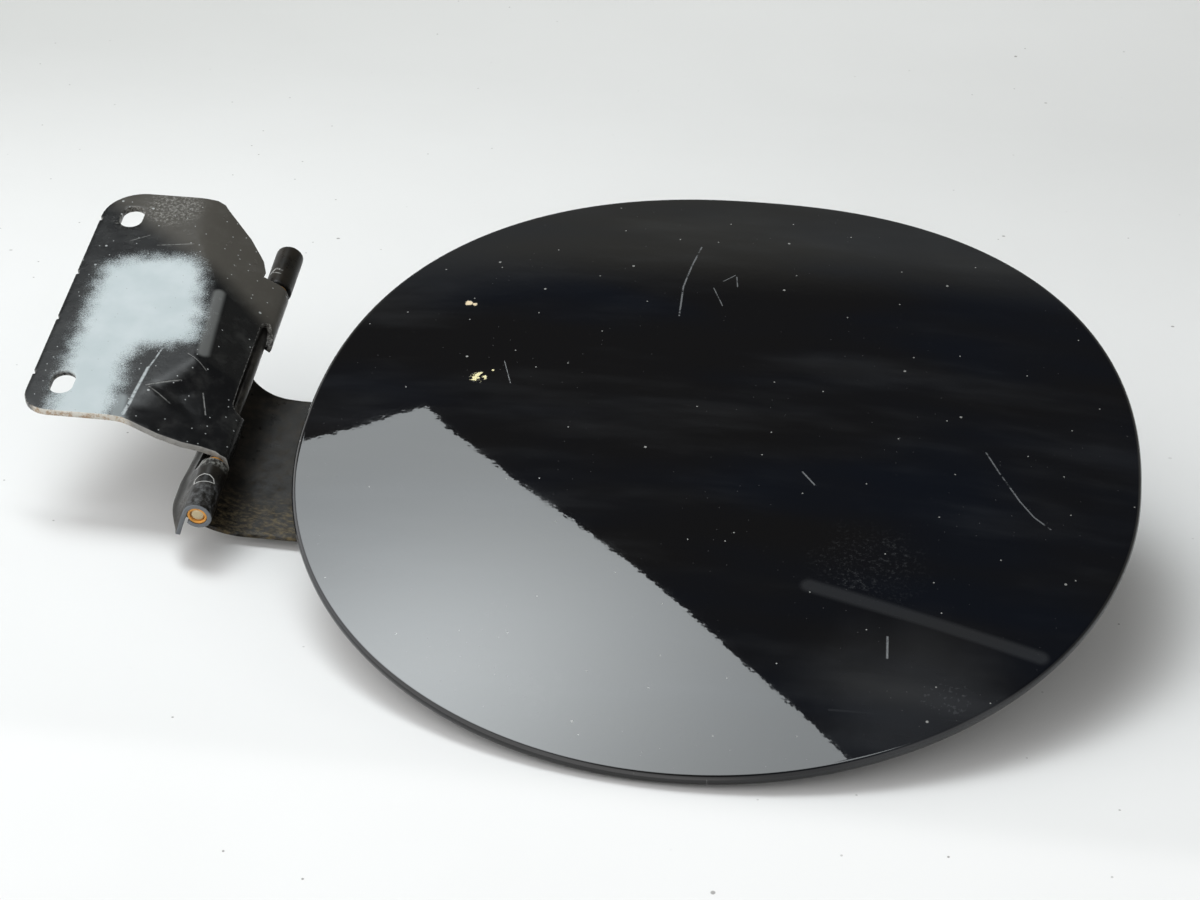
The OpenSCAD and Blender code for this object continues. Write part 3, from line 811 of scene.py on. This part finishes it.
# %% Net of nodes
class Net:
    """Adds nodes to one finish. Each method gives back the new node's output."""

    def __init__(self, name, rough, metal=0.0, gloss=0.5):
        self.material = bpy.data.materials.new(name)
        self.material.use_nodes = True
        self.tree = self.material.node_tree
        self.shader = self.tree.nodes["Principled BSDF"]
        self.shader.inputs["Roughness"].default_value = rough
        self.shader.inputs["Metallic"].default_value = metal
        self.shader.inputs["Specular IOR Level"].default_value = gloss
        raw = self.tree.nodes.new("ShaderNodeTexCoord").outputs["Object"]
        scaled = self.vector("SCALE", raw, scale=1000.0)
        self.place = self.vector("SUBTRACT", scaled, (BOLT_X, -BOLT_MID, -PLATE_Z))
        self.flat = self.vector("MULTIPLY", self.place, (1, 1, 0))

    def put(self, socket, value):
        if isinstance(value, bpy.types.NodeSocket):
            self.tree.links.new(value, socket)
        elif socket.type == "RGBA":
            socket.default_value = (*value, 1)
        else:
            socket.default_value = value

    def feed(self, name, value):
        self.put(self.shader.inputs[name], value)

    def vector(self, what, a, b=None, scale=None):
        node = self.tree.nodes.new("ShaderNodeVectorMath")
        node.operation = what
        self.put(node.inputs[0], a)
        if b is not None:
            self.put(node.inputs[1], b)
        if scale is not None:
            self.put(node.inputs["Scale"], scale)
        return node.outputs["Value" if what in ("LENGTH", "DOT_PRODUCT") else "Vector"]

    def math(self, what, a, b=0.0, clamp=False):
        node = self.tree.nodes.new("ShaderNodeMath")
        node.operation, node.use_clamp = what, clamp
        self.put(node.inputs[0], a)
        self.put(node.inputs[1], b)
        return node.outputs[0]

    def plus(self, a, b, clamp=False):
        return self.math("ADD", a, b, clamp)

    def less(self, a, b):
        return self.math("SUBTRACT", a, b)

    def toward(self, x, y, z):
        """How far a place lies from the pin in this direction, in millimetres."""
        return self.vector("DOT_PRODUCT", self.place, (x, y, z))

    def step(self, value, low, high, to=(0.0, 1.0)):
        """A soft step from to[0] at low to to[1] at high."""
        node = self.tree.nodes.new("ShaderNodeMapRange")
        node.interpolation_type = "SMOOTHSTEP"
        self.put(node.inputs["Value"], value)
        flip = low > high
        node.inputs["From Min"].default_value = high if flip else low
        node.inputs["From Max"].default_value = low if flip else high
        node.inputs["To Min"].default_value = to[1] if flip else to[0]
        node.inputs["To Max"].default_value = to[0] if flip else to[1]
        return node.outputs[0]

    def noise(self, size, detail=2.0, rough=0.5, stretch=None, shift=0.0):
        """Cloudy noise with lumps about this many millimetres across."""
        at = self.place if stretch is None else self.vector("MULTIPLY", self.place, stretch)
        if shift:
            at = self.vector("ADD", at, (shift, shift, shift))
        node = self.tree.nodes.new("ShaderNodeTexNoise")
        self.put(node.inputs["Vector"], at)
        node.inputs["Scale"].default_value = 1.0 / size
        node.inputs["Detail"].default_value = detail
        node.inputs["Roughness"].default_value = rough
        return node.outputs["Fac"]

    def specks(self, gap, size, share, flat=True):
        """Separate dots: one in each cell of this width, of this radius, in this share of the cells."""
        node = self.tree.nodes.new("ShaderNodeTexVoronoi")
        node.voronoi_dimensions = "2D" if flat else "3D"
        self.put(node.inputs["Vector"], self.place)
        node.inputs["Scale"].default_value = 1.0 / gap
        dot = self.step(node.outputs["Distance"], size / gap, 0.6 * size / gap)
        chance = self.vector("DOT_PRODUCT", node.outputs["Color"], (1, 0, 0))
        return self.times(dot, self.step(chance, 1 - share, 1.01 - share))

    def mix(self, share, a, b):
        node = self.tree.nodes.new("ShaderNodeMix")
        node.data_type = "RGBA"
        self.put(node.inputs["Factor"], share)
        self.put(node.inputs[6], a)
        self.put(node.inputs[7], b)
        return node.outputs[2]

    def patches(self, size, detail, rough, low, high, to=(0.0, 1.0), stretch=None, shift=0.0):
        """Cloudy noise cut into patches by a soft step."""
        return self.step(self.noise(size, detail, rough, stretch, shift), low, high, to)

    def over(self, under, colour, *shares):
        """A colour laid over another one, as thick as the product of the shares."""
        return self.mix(self.times(*shares), under, colour)

    def worked(self, name):
        """A number worked out in code for each point of the mesh."""
        node = self.tree.nodes.new("ShaderNodeAttribute")
        node.attribute_name = name
        return node.outputs["Fac"]

    def spot(self, x, y, r, ragged=0.0, soft=0.3, size=1.0):
        """A round place seen from above, with a ragged edge if asked."""
        far = self.vector("LENGTH", self.vector("SUBTRACT", self.flat, (x, y, 0)))
        if ragged:
            far = self.math("ADD", far, self.math("MULTIPLY", self.noise(size, 3, 0.6), ragged))
            r = r + 0.5 * ragged
        return self.step(far, r, r - soft)

    def line(self, a, b, width):
        """A straight scratch seen from above, between two places."""
        ax, ay, bx, by = *a, *b
        dx, dy = bx - ax, by - ay
        off = self.vector("SUBTRACT", self.flat, (ax, ay, 0))
        along = self.vector("DOT_PRODUCT", off, (dx / (dx * dx + dy * dy), dy / (dx * dx + dy * dy), 0))
        along = self.math("MAXIMUM", self.math("MINIMUM", along, 1.0), 0.0)
        back = self.vector("SCALE", (dx, dy, 0), scale=along)
        return self.step(self.vector("LENGTH", self.vector("SUBTRACT", off, back)), width / 2, width / 6)

    def lines(self, scratches):
        """Several straight scratches, each given by its two ends and its width."""
        return self.most(*[self.line(*scratch) for scratch in scratches])

    def path(self, points, width):
        """A bent scratch: straight scratches end to end."""
        return self.lines([(a, b, width) for a, b in zip(points, points[1:])])

    def most(self, *parts):
        out = parts[0]
        for part in parts[1:]:
            out = self.math("MAXIMUM", out, part)
        return out

    def times(self, *parts):
        out = parts[0]
        for part in parts[1:]:
            out = self.math("MULTIPLY", out, part)
        return out

    def bump(self, height, depth):
        """Bumps of this depth in millimetres where the height goes from nought to one."""
        node = self.tree.nodes.new("ShaderNodeBump")
        node.inputs["Distance"].default_value = depth / 1000
        self.put(node.inputs["Height"], height)
        self.feed("Normal", node.outputs[0])
        return node.outputs[0]


print("the helper knows", len([m for m in vars(Net) if not m.startswith("_")]), "short calls")


def worked_numbers(piece, name, values):
    numbers = piece.data.attributes.new(name, "FLOAT", "POINT")
    numbers.data.foreach_set("value", np.asarray(values, np.float32))


def pin_points(piece):
    """The piece's points in millimetres from the pin."""
    flat = np.empty(len(piece.data.vertices) * 3)
    piece.data.vertices.foreach_get("co", flat)
    return flat.reshape(-1, 3) * 1000 - (BOLT_X, -BOLT_MID, -PLATE_Z)


# %% [markdown]
# ## Door paint
#
# The door is sprayed a black that leans to navy, under a clear coat. Two things make such paint look
# real. One is orange peel: ripples two or three millimetres wide and far thinner than a hair, which
# only show where a bright edge is mirrored. The other is use: dust, hair scratches from washing, two
# stone chips down to the tan filler, a few deeper scratches and faint wipe marks. The clear coat is
# the shader's own glossy layer; the bumps are the peel.

# %% Door paint
def door_paint():
    net = Net("door_paint", 0.022)
    wipe = net.noise(26, 4, 0.6, (0.35, 1.6, 1))
    navy = net.patches(30, 2, 0.5, 0.35, 0.7, stretch=(0.4, 1.2, 1), shift=40)
    tint = net.mix(navy, (0.0042, 0.004, 0.004), (0.0028, 0.0038, 0.0062))
    haze = net.step(wipe, 0.5, 0.82, (0.0, 0.05))
    colour = net.mix(haze, tint, (0.16, 0.17, 0.18))

    long_scratch = net.path([(93.6, 43.6), (92.4, 36.0), (91.6, 28.0), (92.1, 17.2)], 0.5)
    curved = net.path([(159.6, -18.2), (162.6, -23.8), (167.2, -31.6), (170.2, -35.6), (173.6, -38.4)], 0.45)
    small = net.lines([((98.2, 28.2), (100.8, 22.0), 0.3), ((102.6, 33.0), (103.2, 29.4), 0.35),
                       ((99.9, 31.0), (102.2, 33.6), 0.3), ((123.4, -30.5), (126.2, -34.0), 0.45),
                       ((144.2, -73.6), (144.6, -79.0), 0.6), ((57.5, -1.8), (60.0, -9.0), 0.28)])
    breaks = net.patches(2.2, 3, 0.7, 0.34, 0.5)
    marks = net.times(net.most(long_scratch, curved, small), breaks)
    colour = net.over(colour, (0.5, 0.52, 0.54), marks, 0.2)

    smear = net.line((128.0, -62.5), (173.4, -73.6), 4.6)
    thin = net.line((135.0, -93.5), (163.0, -92.0), 0.9)
    patch = net.times(net.spot(156.5, -87.0, 6.5, 5.0, 3.0, 3.0), net.patches(0.9, 2, 0.6, 0.5, 0.7))
    rub = net.times(net.spot(80.0, -95.5, 8.5, 8.0, 6.0, 5.0), net.patches(1.4, 3, 0.7, 0.4, 0.8))
    cloud = net.times(net.spot(139.0, -56.0, 14.0, 12.0, 10.0, 8.0), net.patches(0.8, 2, 0.7, 0.5, 0.8))
    foggy = net.times(net.spot(150.0, -88.0, 26.0, 14.0, 22.0, 14.0), 0.3)
    parts = ((smear, 0.34), (thin, 0.3), (patch, 0.7), (cloud, 0.5))
    dull = net.most(*[net.times(part, share) for part, share in parts], foggy)
    colour = net.over(colour, (0.5, 0.52, 0.54), dull, 0.085)
    colour = net.over(colour, (0.3, 0.3, 0.29), rub, 0.05)

    dust = net.most(net.specks(13.0, 0.2, 0.55), net.specks(31.0, 0.34, 0.5))
    fine = net.times(net.specks(3.4, 0.13, 0.4), net.patches(18, 2, 0.5, 0.4, 0.7, shift=9))
    colour = net.over(colour, (0.45, 0.45, 0.43), dust, 0.45)
    colour = net.over(colour, (0.5, 0.5, 0.5), fine, 0.1)

    tan_chip = net.spot(46.2, 18.2, 1.0, 1.0, 0.3, 1.2)
    tan_chip = net.most(tan_chip, net.spot(47.6, 17.8, 0.6, 0.7, 0.25, 0.8))
    flakes = net.spot(52.8, -7.5, 1.9, 1.8, 0.4, 1.4)
    flakes = net.times(flakes, net.patches(0.95, 2, 0.6, 0.48, 0.54, shift=3))
    flakes = net.most(flakes, net.spot(55.6, -5.0, 0.35, 0, 0.15))
    colour = net.mix(tan_chip, colour, (0.58, 0.47, 0.3))
    colour = net.mix(flakes, colour, (0.66, 0.6, 0.32))
    bare = net.most(tan_chip, flakes)
    net.feed("Base Color", colour)

    rough = net.plus(net.step(wipe, 0.55, 0.85, (0.018, 0.05)), net.times(bare, 0.5))
    rough = net.plus(rough, net.times(net.most(marks, dust), 0.25))
    net.feed("Roughness", rough)
    peel = net.plus(net.times(net.noise(1.3, 1.0, 0.5), 0.8), net.noise(4.2, 1.0, 0.5, None, 20))
    height = net.less(peel, net.times(net.most(bare, net.times(marks, 0.06)), 60.0))
    net.bump(height, 0.0022)
    return net.material


skin.data.materials.append(door_paint())
print("door_paint:", len(skin.data.materials[0].node_tree.nodes), "nodes")

# %% [markdown]
# ## Inner pan and striker
#
# The inside of the door gets the same paint, but thinner: the spray reaches it from the edge, so it
# is duller, with a fine dry texture and some road dust that settles toward the bottom of the pan. The
# striker is welded on before painting and takes the same coat, rubbed through to grey steel along
# its lip where the latch catches.

# %% Inner paint and striker paint
def dusty_paint(name, colour, dust_colour, amount, rough=0.4):
    net = Net(name, rough)
    cloud = net.noise(14, 4, 0.6)
    grain = net.noise(0.5, 2, 0.7)
    dust = net.times(net.step(cloud, 0.42, 0.75), net.step(grain, 0.35, 0.75), amount)
    dust = net.most(dust, net.times(net.specks(5.0, 0.2, 0.4, False), 0.5))
    net.feed("Base Color", net.mix(dust, colour, dust_colour))
    net.feed("Roughness", net.plus(net.times(cloud, 0.3), rough - 0.1))
    net.bump(net.plus(grain, net.noise(2.5, 2, 0.5)), 0.012)
    return net


pan_paint = dusty_paint("pan_paint", (0.006, 0.007, 0.01), (0.16, 0.14, 0.11), 0.35, 0.32)
pan.data.materials.append(pan_paint.material)


def striker_finish():
    net = dusty_paint("striker_finish", (0.008, 0.009, 0.011), (0.18, 0.15, 0.11), 0.3, 0.36)
    base = net.shader.inputs["Base Color"].links[0].from_socket
    high = net.toward(0, 0, 1)
    across = net.toward(1, 0, 0)
    lip = net.times(net.step(high, -9.0, -9.6), net.step(across, STRIKER_X + 2.6, STRIKER_X + 4.2))
    worn = net.times(lip, net.patches(0.8, 3, 0.7, 0.42, 0.56, stretch=(1, 0.4, 1)))
    net.feed("Base Color", net.mix(worn, base, (0.42, 0.41, 0.39)))
    net.feed("Metallic", worn)
    return net.material


striker.data.materials.append(striker_finish())
print("pan and striker painted")

# %% [markdown]
# ## Bracket: primer and overspray
#
# The bracket is dipped in a pale blue-grey primer. When the car's body was sprayed black, the spray
# reached it through the fuel door's opening, so the middle of the plate stayed pale and all round it
# the black fades in as fine speckles. The pale area's outline is a short list of places, the distance
# of every mesh point to it is worked out in code, and grainy noise breaks up the edge. On top come
# a long scratch, dust at the far end, and cut edges that are rubbed pale.

# %% Distance to the pale area
PALE_AREA = [(-36.4, 25.0), (-31.0, 27.6), (-24.0, 28.9), (-17.4, 29.0), (-14.6, 23.1), (-11.6, 10.0),
             (-10.9, 2.2), (-15.1, -0.2), (-21.6, -1.6), (-23.9, -6.8), (-23.0, -16.0), (-22.4, -25.6),
             (-22.4, -30.0), (-35.4, -30.0), (-35.8, -19.3), (-36.3, -6.6), (-36.4, 12.8)]


def distance_inside(points, loop):
    """Distance in millimetres to a closed outline, positive inside it."""
    best = np.full(len(points), 1e9)
    for a, b in zip(loop, loop[1:] + loop[:1]):
        a, b = np.array(a), np.array(b)
        along = np.clip((points - a) @ (b - a) / ((b - a) @ (b - a)), 0, 1)
        best = np.minimum(best, np.linalg.norm(points - a - along[:, None] * (b - a), axis=1))
    return np.where(inside(points, [np.array(loop)]), best, -best)


where = pin_points(bracket)
pale = distance_inside(where[:, :2], PALE_AREA)
under = (where[:, 2] < plate_top(np.minimum(where[:, 0], TAN_X), where[:, 1]) - 1.25) | (where[:, 0] > TAN_X)
pale[under] = np.minimum(pale[under], -5.0)
worked_numbers(bracket, "pale", pale)
worked_numbers(bracket, "cut_edge", np.arange(len(where)) >= bracket_rim)
print("points of the bracket inside the pale area:", int((pale > 0).sum()), "of", len(pale))


# %% [markdown]
# The finish itself works from the lowest coat up: the brown-black of the web, dust and flecks on it, a
# painted highlight along the fold, the pale primer with its speckled border, then the scratch, painted
# highlights along the creases and the bare, rusty edge.

# %% Bracket paint
def bracket_paint():
    net = Net("bracket_paint", 0.5, gloss=0.15)
    grain = net.noise(0.25, 2.0, 0.75)
    lumps = net.noise(3.2, 2, 0.5)
    edge = net.plus(net.times(net.worked("pale"), 0.24), net.times(net.less(grain, 0.5), 2.0))
    edge = net.plus(edge, net.times(net.less(lumps, 0.5), 0.9))
    primer = net.step(edge, -0.6, 0.6)
    half_grey = net.times(net.line((-21.7, -19.5), (-20.7, -26.5), 4.4), 0.4)
    primer = net.most(primer, half_grey)

    brown = net.step(net.toward(0.6, 0.8, 0), 10.0, 17.0)
    black = net.mix(brown, (0.0065, 0.0067, 0.007), (0.056, 0.052, 0.045))
    black = net.over(black, (0.2, 0.2, 0.19), net.patches(5, 4, 0.65, 0.45, 0.8), 0.08)
    cloud = net.spot(-26.5, 47.0, 8.5, 6.0, 5.0, 4.0)
    cloud = net.times(cloud, net.patches(0.7, 3, 0.75, 0.42, 0.72, shift=4))
    rub = net.times(net.spot(-36.0, 41.0, 4.0, 3.0, 3.0, 2.0), net.patches(0.8, 2, 0.75, 0.5, 0.7, shift=8))
    black = net.over(black, (0.42, 0.41, 0.38), net.most(cloud, rub), 0.34)
    flecks = net.most(net.specks(2.8, 0.17, 0.35), net.specks(7.5, 0.34, 0.3))
    black = net.over(black, (0.5, 0.52, 0.52), flecks, 0.6)

    fog = net.noise(9, 3, 0.5)
    pale_grey = net.mix(net.step(fog, 0.3, 0.75), (0.39, 0.44, 0.45), (0.445, 0.49, 0.5))
    pale_grey = net.over(pale_grey, (0.15, 0.15, 0.14), net.specks(3.6, 0.14, 0.35), 0.6)
    # Painted highlight: a grey stripe along the rounded fold between plate and web, where the bend catches
    # the light.
    band = net.times(net.line((-9.3, 18.0), (-8.0, -2.0), 3.6), 0.8)
    black = net.mix(band, black, (0.12, 0.123, 0.12))
    colour = net.mix(primer, black, pale_grey)

    breaks = net.patches(0.9, 3, 0.7, 0.3, 0.55)
    thin = net.path([(-16.9, -2.3), (-17.7, -6.6), (-18.5, -10.0)], 0.55)
    wide = net.path([(-18.3, -9.0), (-18.9, -15.2), (-19.4, -20.5), (-19.9, -24.0)], 1.0)
    scratch = net.most(thin, wide)
    # Painted highlights: pale lines along the edges of the pressed dent and the folds, also pressed in below
    # as shallow grooves.
    crease_highlight = net.lines([((-17.3, -14.6), (-10.6, -11.2), 0.5), ((-16.6, -14.9), (-11.6, -17.6), 0.4),
                        ((-5.9, -12.0), (-4.2, -17.4), 0.4), ((-11.0, -3.2), (-6.4, -6.4), 0.3)])
    hair = net.lines([((-27.0, 33.0), (-19.0, 34.5), 0.4), ((-33.4, 33.8), (-29.5, 36.4), 0.3)])
    colour = net.over(colour, (0.52, 0.56, 0.57), scratch, breaks, 0.62)
    # Pale lines: hair scratches, which are wear, and the crease lines, which are painted highlights.
    colour = net.over(colour, (0.5, 0.5, 0.48), net.most(crease_highlight, hair), breaks, 0.24)

    cut = net.worked("cut_edge")
    near = net.step(net.toward(0, 1, 0), PLATE_Y0 + 1.5, PLATE_Y0 + 0.3)
    west = net.step(net.toward(1, 0, 0), -17.0, -20.0)
    rubbed = net.times(net.patches(0.7, 3, 0.7, 0.42, 0.62), 0.35)
    uneven = net.patches(2.2, 3, 0.7, 0.2, 0.6, (0.6, 1), shift=9)
    worn = net.times(cut, net.most(rubbed, net.times(near, 0.5)), uneven)
    colour = net.mix(worn, colour, (0.44, 0.43, 0.4))
    rusty = net.times(net.step(cut, 0.0, 0.6), near, west)
    rust_fleck = net.patches(1.1, 3, 0.7, 0.42, 0.62, shift=7)
    colour = net.over(colour, net.mix(rust_fleck, (0.55, 0.52, 0.46), (0.3, 0.2, 0.11)), rusty, 0.75)
    net.feed("Base Color", colour)

    rough = net.plus(net.times(primer, 0.4), net.patches(4, 3, 0.6, 0.3, 0.8, (0.17, 0.3)))
    net.feed("Roughness", net.plus(rough, net.times(net.most(cloud, worn), 0.2)))
    height = net.plus(net.times(net.noise(0.55, 2, 0.7), 0.6), net.times(net.noise(2.4, 1, 0.5), 0.7))
    height = net.less(height, net.times(net.most(net.times(scratch, breaks), crease_highlight), 1.4))
    net.bump(height, 0.02)
    return net.material


bracket.data.materials.append(bracket_paint())
print("bracket_paint:", len(bracket.data.materials[0].node_tree.nodes), "nodes")

# %% [markdown]
# ## Arm, pin and bushes
#
# The arm is black primer gone brown: road dust has baked on in the bend, and the knuckles are rubbed
# where the bracket turns on them. The blanked end faces of knuckle and tab have lost their paint and
# show grey steel. The near knuckle carries a small lanced mark, the shape of a D, from the tool that
# closed it; its rim is a painted highlight and its hollow a painted shadow. The pin is steel, black with
# old grease where it runs free and yellowish at its end, in bushes of plain orange brass.

# %% Arm paint
worked_numbers(arm, "cut_edge", np.arange(len(arm.data.vertices)) >= arm_rim)


def arm_paint():
    net = Net("arm_paint", 0.45, gloss=0.13)
    cloud = net.noise(7, 4, 0.6)
    grain = net.noise(0.6, 3, 0.7)
    along = net.toward(0, 1, 0)
    high = net.toward(0, 0, 1)
    colour = net.mix(net.step(cloud, 0.35, 0.75), (0.0065, 0.006, 0.0052), (0.016, 0.013, 0.0095))
    deep = net.step(high, -3.0, -8.0)
    near_edge = net.times(deep, net.step(along, -20.0, -31.0))
    dust = net.times(near_edge, net.patches(1.1, 4, 0.75, 0.42, 0.72, stretch=(0.6, 1.2, 1), shift=5))
    colour = net.over(colour, (0.26, 0.2, 0.105), dust, 0.5)
    soil = net.times(deep, net.patches(2.0, 4, 0.7, 0.4, 0.8, shift=12))
    colour = net.over(colour, (0.17, 0.13, 0.08), soil, 0.12)

    tube = net.step(high, -0.5, 1.0)
    rub = net.times(tube, net.step(along, -34.0, -38.0), net.patches(1.3, 4, 0.75, 0.4, 0.75, shift=2))
    chip_ring = net.times(tube, net.step(along, -31.4, -30.2), net.step(along, -26.0, -28.0),
                          net.patches(0.8, 3, 0.75, 0.42, 0.6, shift=6))
    colour = net.over(colour, (0.4, 0.41, 0.42), rub, 0.22)
    colour = net.over(colour, (0.45, 0.45, 0.42), chip_ring, 0.35)

    # The D-shaped lance: its pale outline is a painted highlight on the lanced edge, and the dark spot inside
    # is painted shadow in its hollow.
    lance_edge_highlight = net.path([(-2.2, -36.6), (-2.4, -35.3), (-1.7, -34.4), (-0.6, -34.0), (0.7, -34.2), (1.6, -34.9),
                      (2.0, -36.0)], 0.34)
    lance_edge_highlight = net.most(lance_edge_highlight, net.line((-2.2, -36.6), (1.9, -36.1), 0.3))
    shadow = net.times(net.spot(-0.2, -35.3, 1.5, 0, 0.8), tube)
    chipped = net.path([(-2.2, 34.4), (-1.2, 35.9), (0.4, 35.3)], 0.6)
    chipped = net.most(chipped, net.line((-1.5, 34.6), (0.3, 34.0), 0.4))
    chipped = net.times(chipped, net.patches(0.7, 3, 0.7, 0.35, 0.55))
    marks = net.times(net.most(lance_edge_highlight, chipped), tube)
    colour = net.over(colour, (0.003, 0.003, 0.003), shadow, 0.7)
    # Pale marks: chipped paint, which is wear, and the lance's outline, which is a painted highlight.
    colour = net.over(colour, (0.52, 0.52, 0.5), marks, 0.62)

    cut = net.worked("cut_edge")
    end = net.times(cut, net.step(along, -HALF_HINGE + 0.9, -HALF_HINGE + 0.25))
    rubbed = net.times(cut, net.patches(1.6, 3, 0.7, 0.45, 0.65), 0.2)
    bare = net.plus(net.times(end, 0.9), rubbed, True)
    colour = net.mix(bare, colour, (0.13, 0.14, 0.15))
    net.feed("Base Color", colour)

    rough = net.patches(3, 3, 0.6, 0.3, 0.8, (0.26, 0.44), shift=3)
    rough = net.plus(rough, net.times(net.most(dust, soil, rub), 0.25))
    net.feed("Roughness", rough)
    height = net.plus(net.times(grain, 0.8), net.times(net.noise(3.4, 2, 0.5), 0.5))
    height = net.plus(height, net.times(marks, 2.0))
    net.bump(height, 0.014)
    return net.material


arm.data.materials.append(arm_paint())
print("arm_paint:", len(arm.data.materials[0].node_tree.nodes), "nodes")


# %% [markdown]
# The pin and the bushes are small and half hidden, so a few soft patches of smut are enough for them.

# %% Pin steel and bush brass
def pin_steel():
    net = Net("pin_steel", 0.35, metal=0.7)
    along = net.toward(0, 1, 0)
    grease = net.step(along, -41.0, -38.0)
    smut = net.noise(1.6, 4, 0.7, (1, 0.35, 1))
    dark = net.mix(net.step(smut, 0.4, 0.75), (0.012, 0.011, 0.01), (0.05, 0.045, 0.038))
    net.feed("Base Color", net.mix(grease, (0.45, 0.37, 0.23), dark))
    net.feed("Roughness", net.step(smut, 0.3, 0.8, (0.26, 0.5)))
    net.bump(net.plus(smut, net.noise(0.4, 2, 0.6)), 0.03)
    return net.material


def bush_brass():
    net = Net("bush_brass", 0.42, metal=0.55)
    smut = net.noise(0.9, 3, 0.7)
    net.feed("Base Color", net.mix(net.step(smut, 0.5, 0.75), (0.6, 0.27, 0.05), (0.2, 0.1, 0.03)))
    net.feed("Roughness", net.step(smut, 0.3, 0.8, (0.34, 0.6)))
    net.bump(smut, 0.02)
    return net.material


pin.data.materials.append(pin_steel())
near_bush.data.materials.append(bush_brass())
far_bush.data.materials.append(near_bush.data.materials[0])
print("pin and bushes finished")

# %% [markdown]
# ## Light card, room and table
#
# The pale area in the door is the mirror image of a soft window of light high on the left, brightest
# at its middle. So the card's strength falls off from one place, as a lamp behind a cloth does.
# The room is bright on the left, less so on the near side, and dim behind, with a lighter strip low
# down, which shows as the olive band along the door's far side. The table is white, with painted shade
# that makes it greyer toward the far side and more so toward its far left, and a few dark grains.

# %% Light card's glow
GLOW_MIDDLE, GLOW_WIDTH = (-259.0, 529.5, 0.0), 178.0
GLOW_PEAK, GLOW_BASE = 6.2, 4.4


def soft_glow():
    net = Net("card_glow", 1.0)
    far = net.vector("LENGTH", net.vector("SUBTRACT", net.flat, GLOW_MIDDLE))
    fall = net.math("POWER", net.math("DIVIDE", far, GLOW_WIDTH), 2.0)
    glow = net.math("EXPONENT", net.math("MULTIPLY", fall, -0.5))
    emit = net.tree.nodes.new("ShaderNodeEmission")
    emit.inputs["Color"].default_value = (0.945, 1.0, 1.02, 1)
    net.tree.links.new(net.plus(net.times(glow, GLOW_PEAK), GLOW_BASE), emit.inputs["Strength"])
    net.tree.links.new(emit.outputs[0], net.tree.nodes["Material Output"].inputs["Surface"])
    net.tree.nodes.remove(net.shader)
    return net.material


overhead.data.materials.append(soft_glow())
print("the card glows at", GLOW_BASE, "and at", round(GLOW_BASE + GLOW_PEAK, 1), "in its middle")


# %% [markdown]
# The room is drawn by direction alone, so it needs no walls: each part of it is a soft share of the
# sky that a ray can look at. What the door mirrors is the dim part; what lights the table is the rest.

# %% Room
ROOM_LEFT, ROOM_NEAR = (1.85, 1.85, 1.85), (0.85, 0.85, 0.85)
ROOM_LOW, ROOM_HIGH = (0.3, 0.3, 0.275), (0.045, 0.045, 0.05)


def dim_room():
    world = bpy.data.worlds.new("dim_room")
    bpy.context.scene.world = world
    world.use_nodes = True
    tree = world.node_tree
    ray = tree.nodes.new("ShaderNodeTexCoord").outputs["Generated"]

    def soft(direction, low, high):
        dot = tree.nodes.new("ShaderNodeVectorMath")
        dot.operation = "DOT_PRODUCT"
        tree.links.new(ray, dot.inputs[0])
        dot.inputs[1].default_value = direction
        step = tree.nodes.new("ShaderNodeMapRange")
        step.interpolation_type = "SMOOTHSTEP"
        tree.links.new(dot.outputs["Value"], step.inputs["Value"])
        step.inputs["From Min"].default_value = low
        step.inputs["From Max"].default_value = high
        return step.outputs[0]

    def blend(share, a, b):
        node = tree.nodes.new("ShaderNodeMix")
        node.data_type = "RGBA"
        tree.links.new(share, node.inputs["Factor"])
        for socket, value in ((node.inputs[6], a), (node.inputs[7], b)):
            if isinstance(value, tuple):
                socket.default_value = (*value, 1)
            else:
                tree.links.new(value, socket)
        return node.outputs[2]

    behind = blend(soft((0, 0, 1), 0.47, 0.53), ROOM_LOW, ROOM_HIGH)
    nearer = blend(soft((0.3, -0.95, 0), 0.1, 0.5), behind, ROOM_NEAR)
    all_round = blend(soft((-0.9, -0.44, 0), 0.0, 0.45), nearer, ROOM_LEFT)
    tree.links.new(all_round, tree.nodes["Background"].inputs["Color"])
    tree.nodes["Background"].inputs["Strength"].default_value = 1.0
    return world


room = dim_room()
print("the room's light takes", len(room.node_tree.nodes), "nodes")


# %% Table
def paint_floor():
    net = Net("table_white", 0.7, gloss=0.2)
    grains = net.most(net.specks(16.0, 0.3, 0.3, True), net.specks(42.0, 0.55, 0.4, True))
    grains = net.times(grains, net.patches(60, 2, 0.5, 0.42, 0.6))
    # Painted shade: the table's colour gets darker toward the far side, and more so toward its far left,
    # where the light falls off.
    along = net.toward(0.1, 1, 0)
    white = net.mix(net.step(along, -90.0, 420.0), (0.78, 0.778, 0.772), (0.52, 0.517, 0.505))
    corner_painted_shade = net.step(net.toward(-0.7, 0.7, 0), 120.0, 420.0, (0.0, 0.7))
    white = net.mix(corner_painted_shade, white, (0.36, 0.36, 0.345))
    white = net.mix(net.patches(70, 3, 0.5, 0.3, 0.8, (0.0, 0.05)), white, (0.6, 0.6, 0.58))
    net.feed("Base Color", net.mix(net.times(grains, 0.7), white, (0.12, 0.11, 0.1)))
    net.feed("Roughness", net.patches(20, 2, 0.5, 0.3, 0.7, (0.6, 0.75)))
    floor.data.materials.append(net.material)


paint_floor()
print("lit and painted")

# %% [markdown]
# ## View and size
#
# The colours are shown as they are, without a film look. The box round the whole part, measured as
# the frame came in and again now, is written down, so that anyone can see that the size is kept.

# %% View and size
bpy.context.scene.view_settings.view_transform = "Standard"
box_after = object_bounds()
for name, box in (("before", box_before), ("after", box_after)):
    print("box", name, [[round(v, 4) for v in c] for c in box])
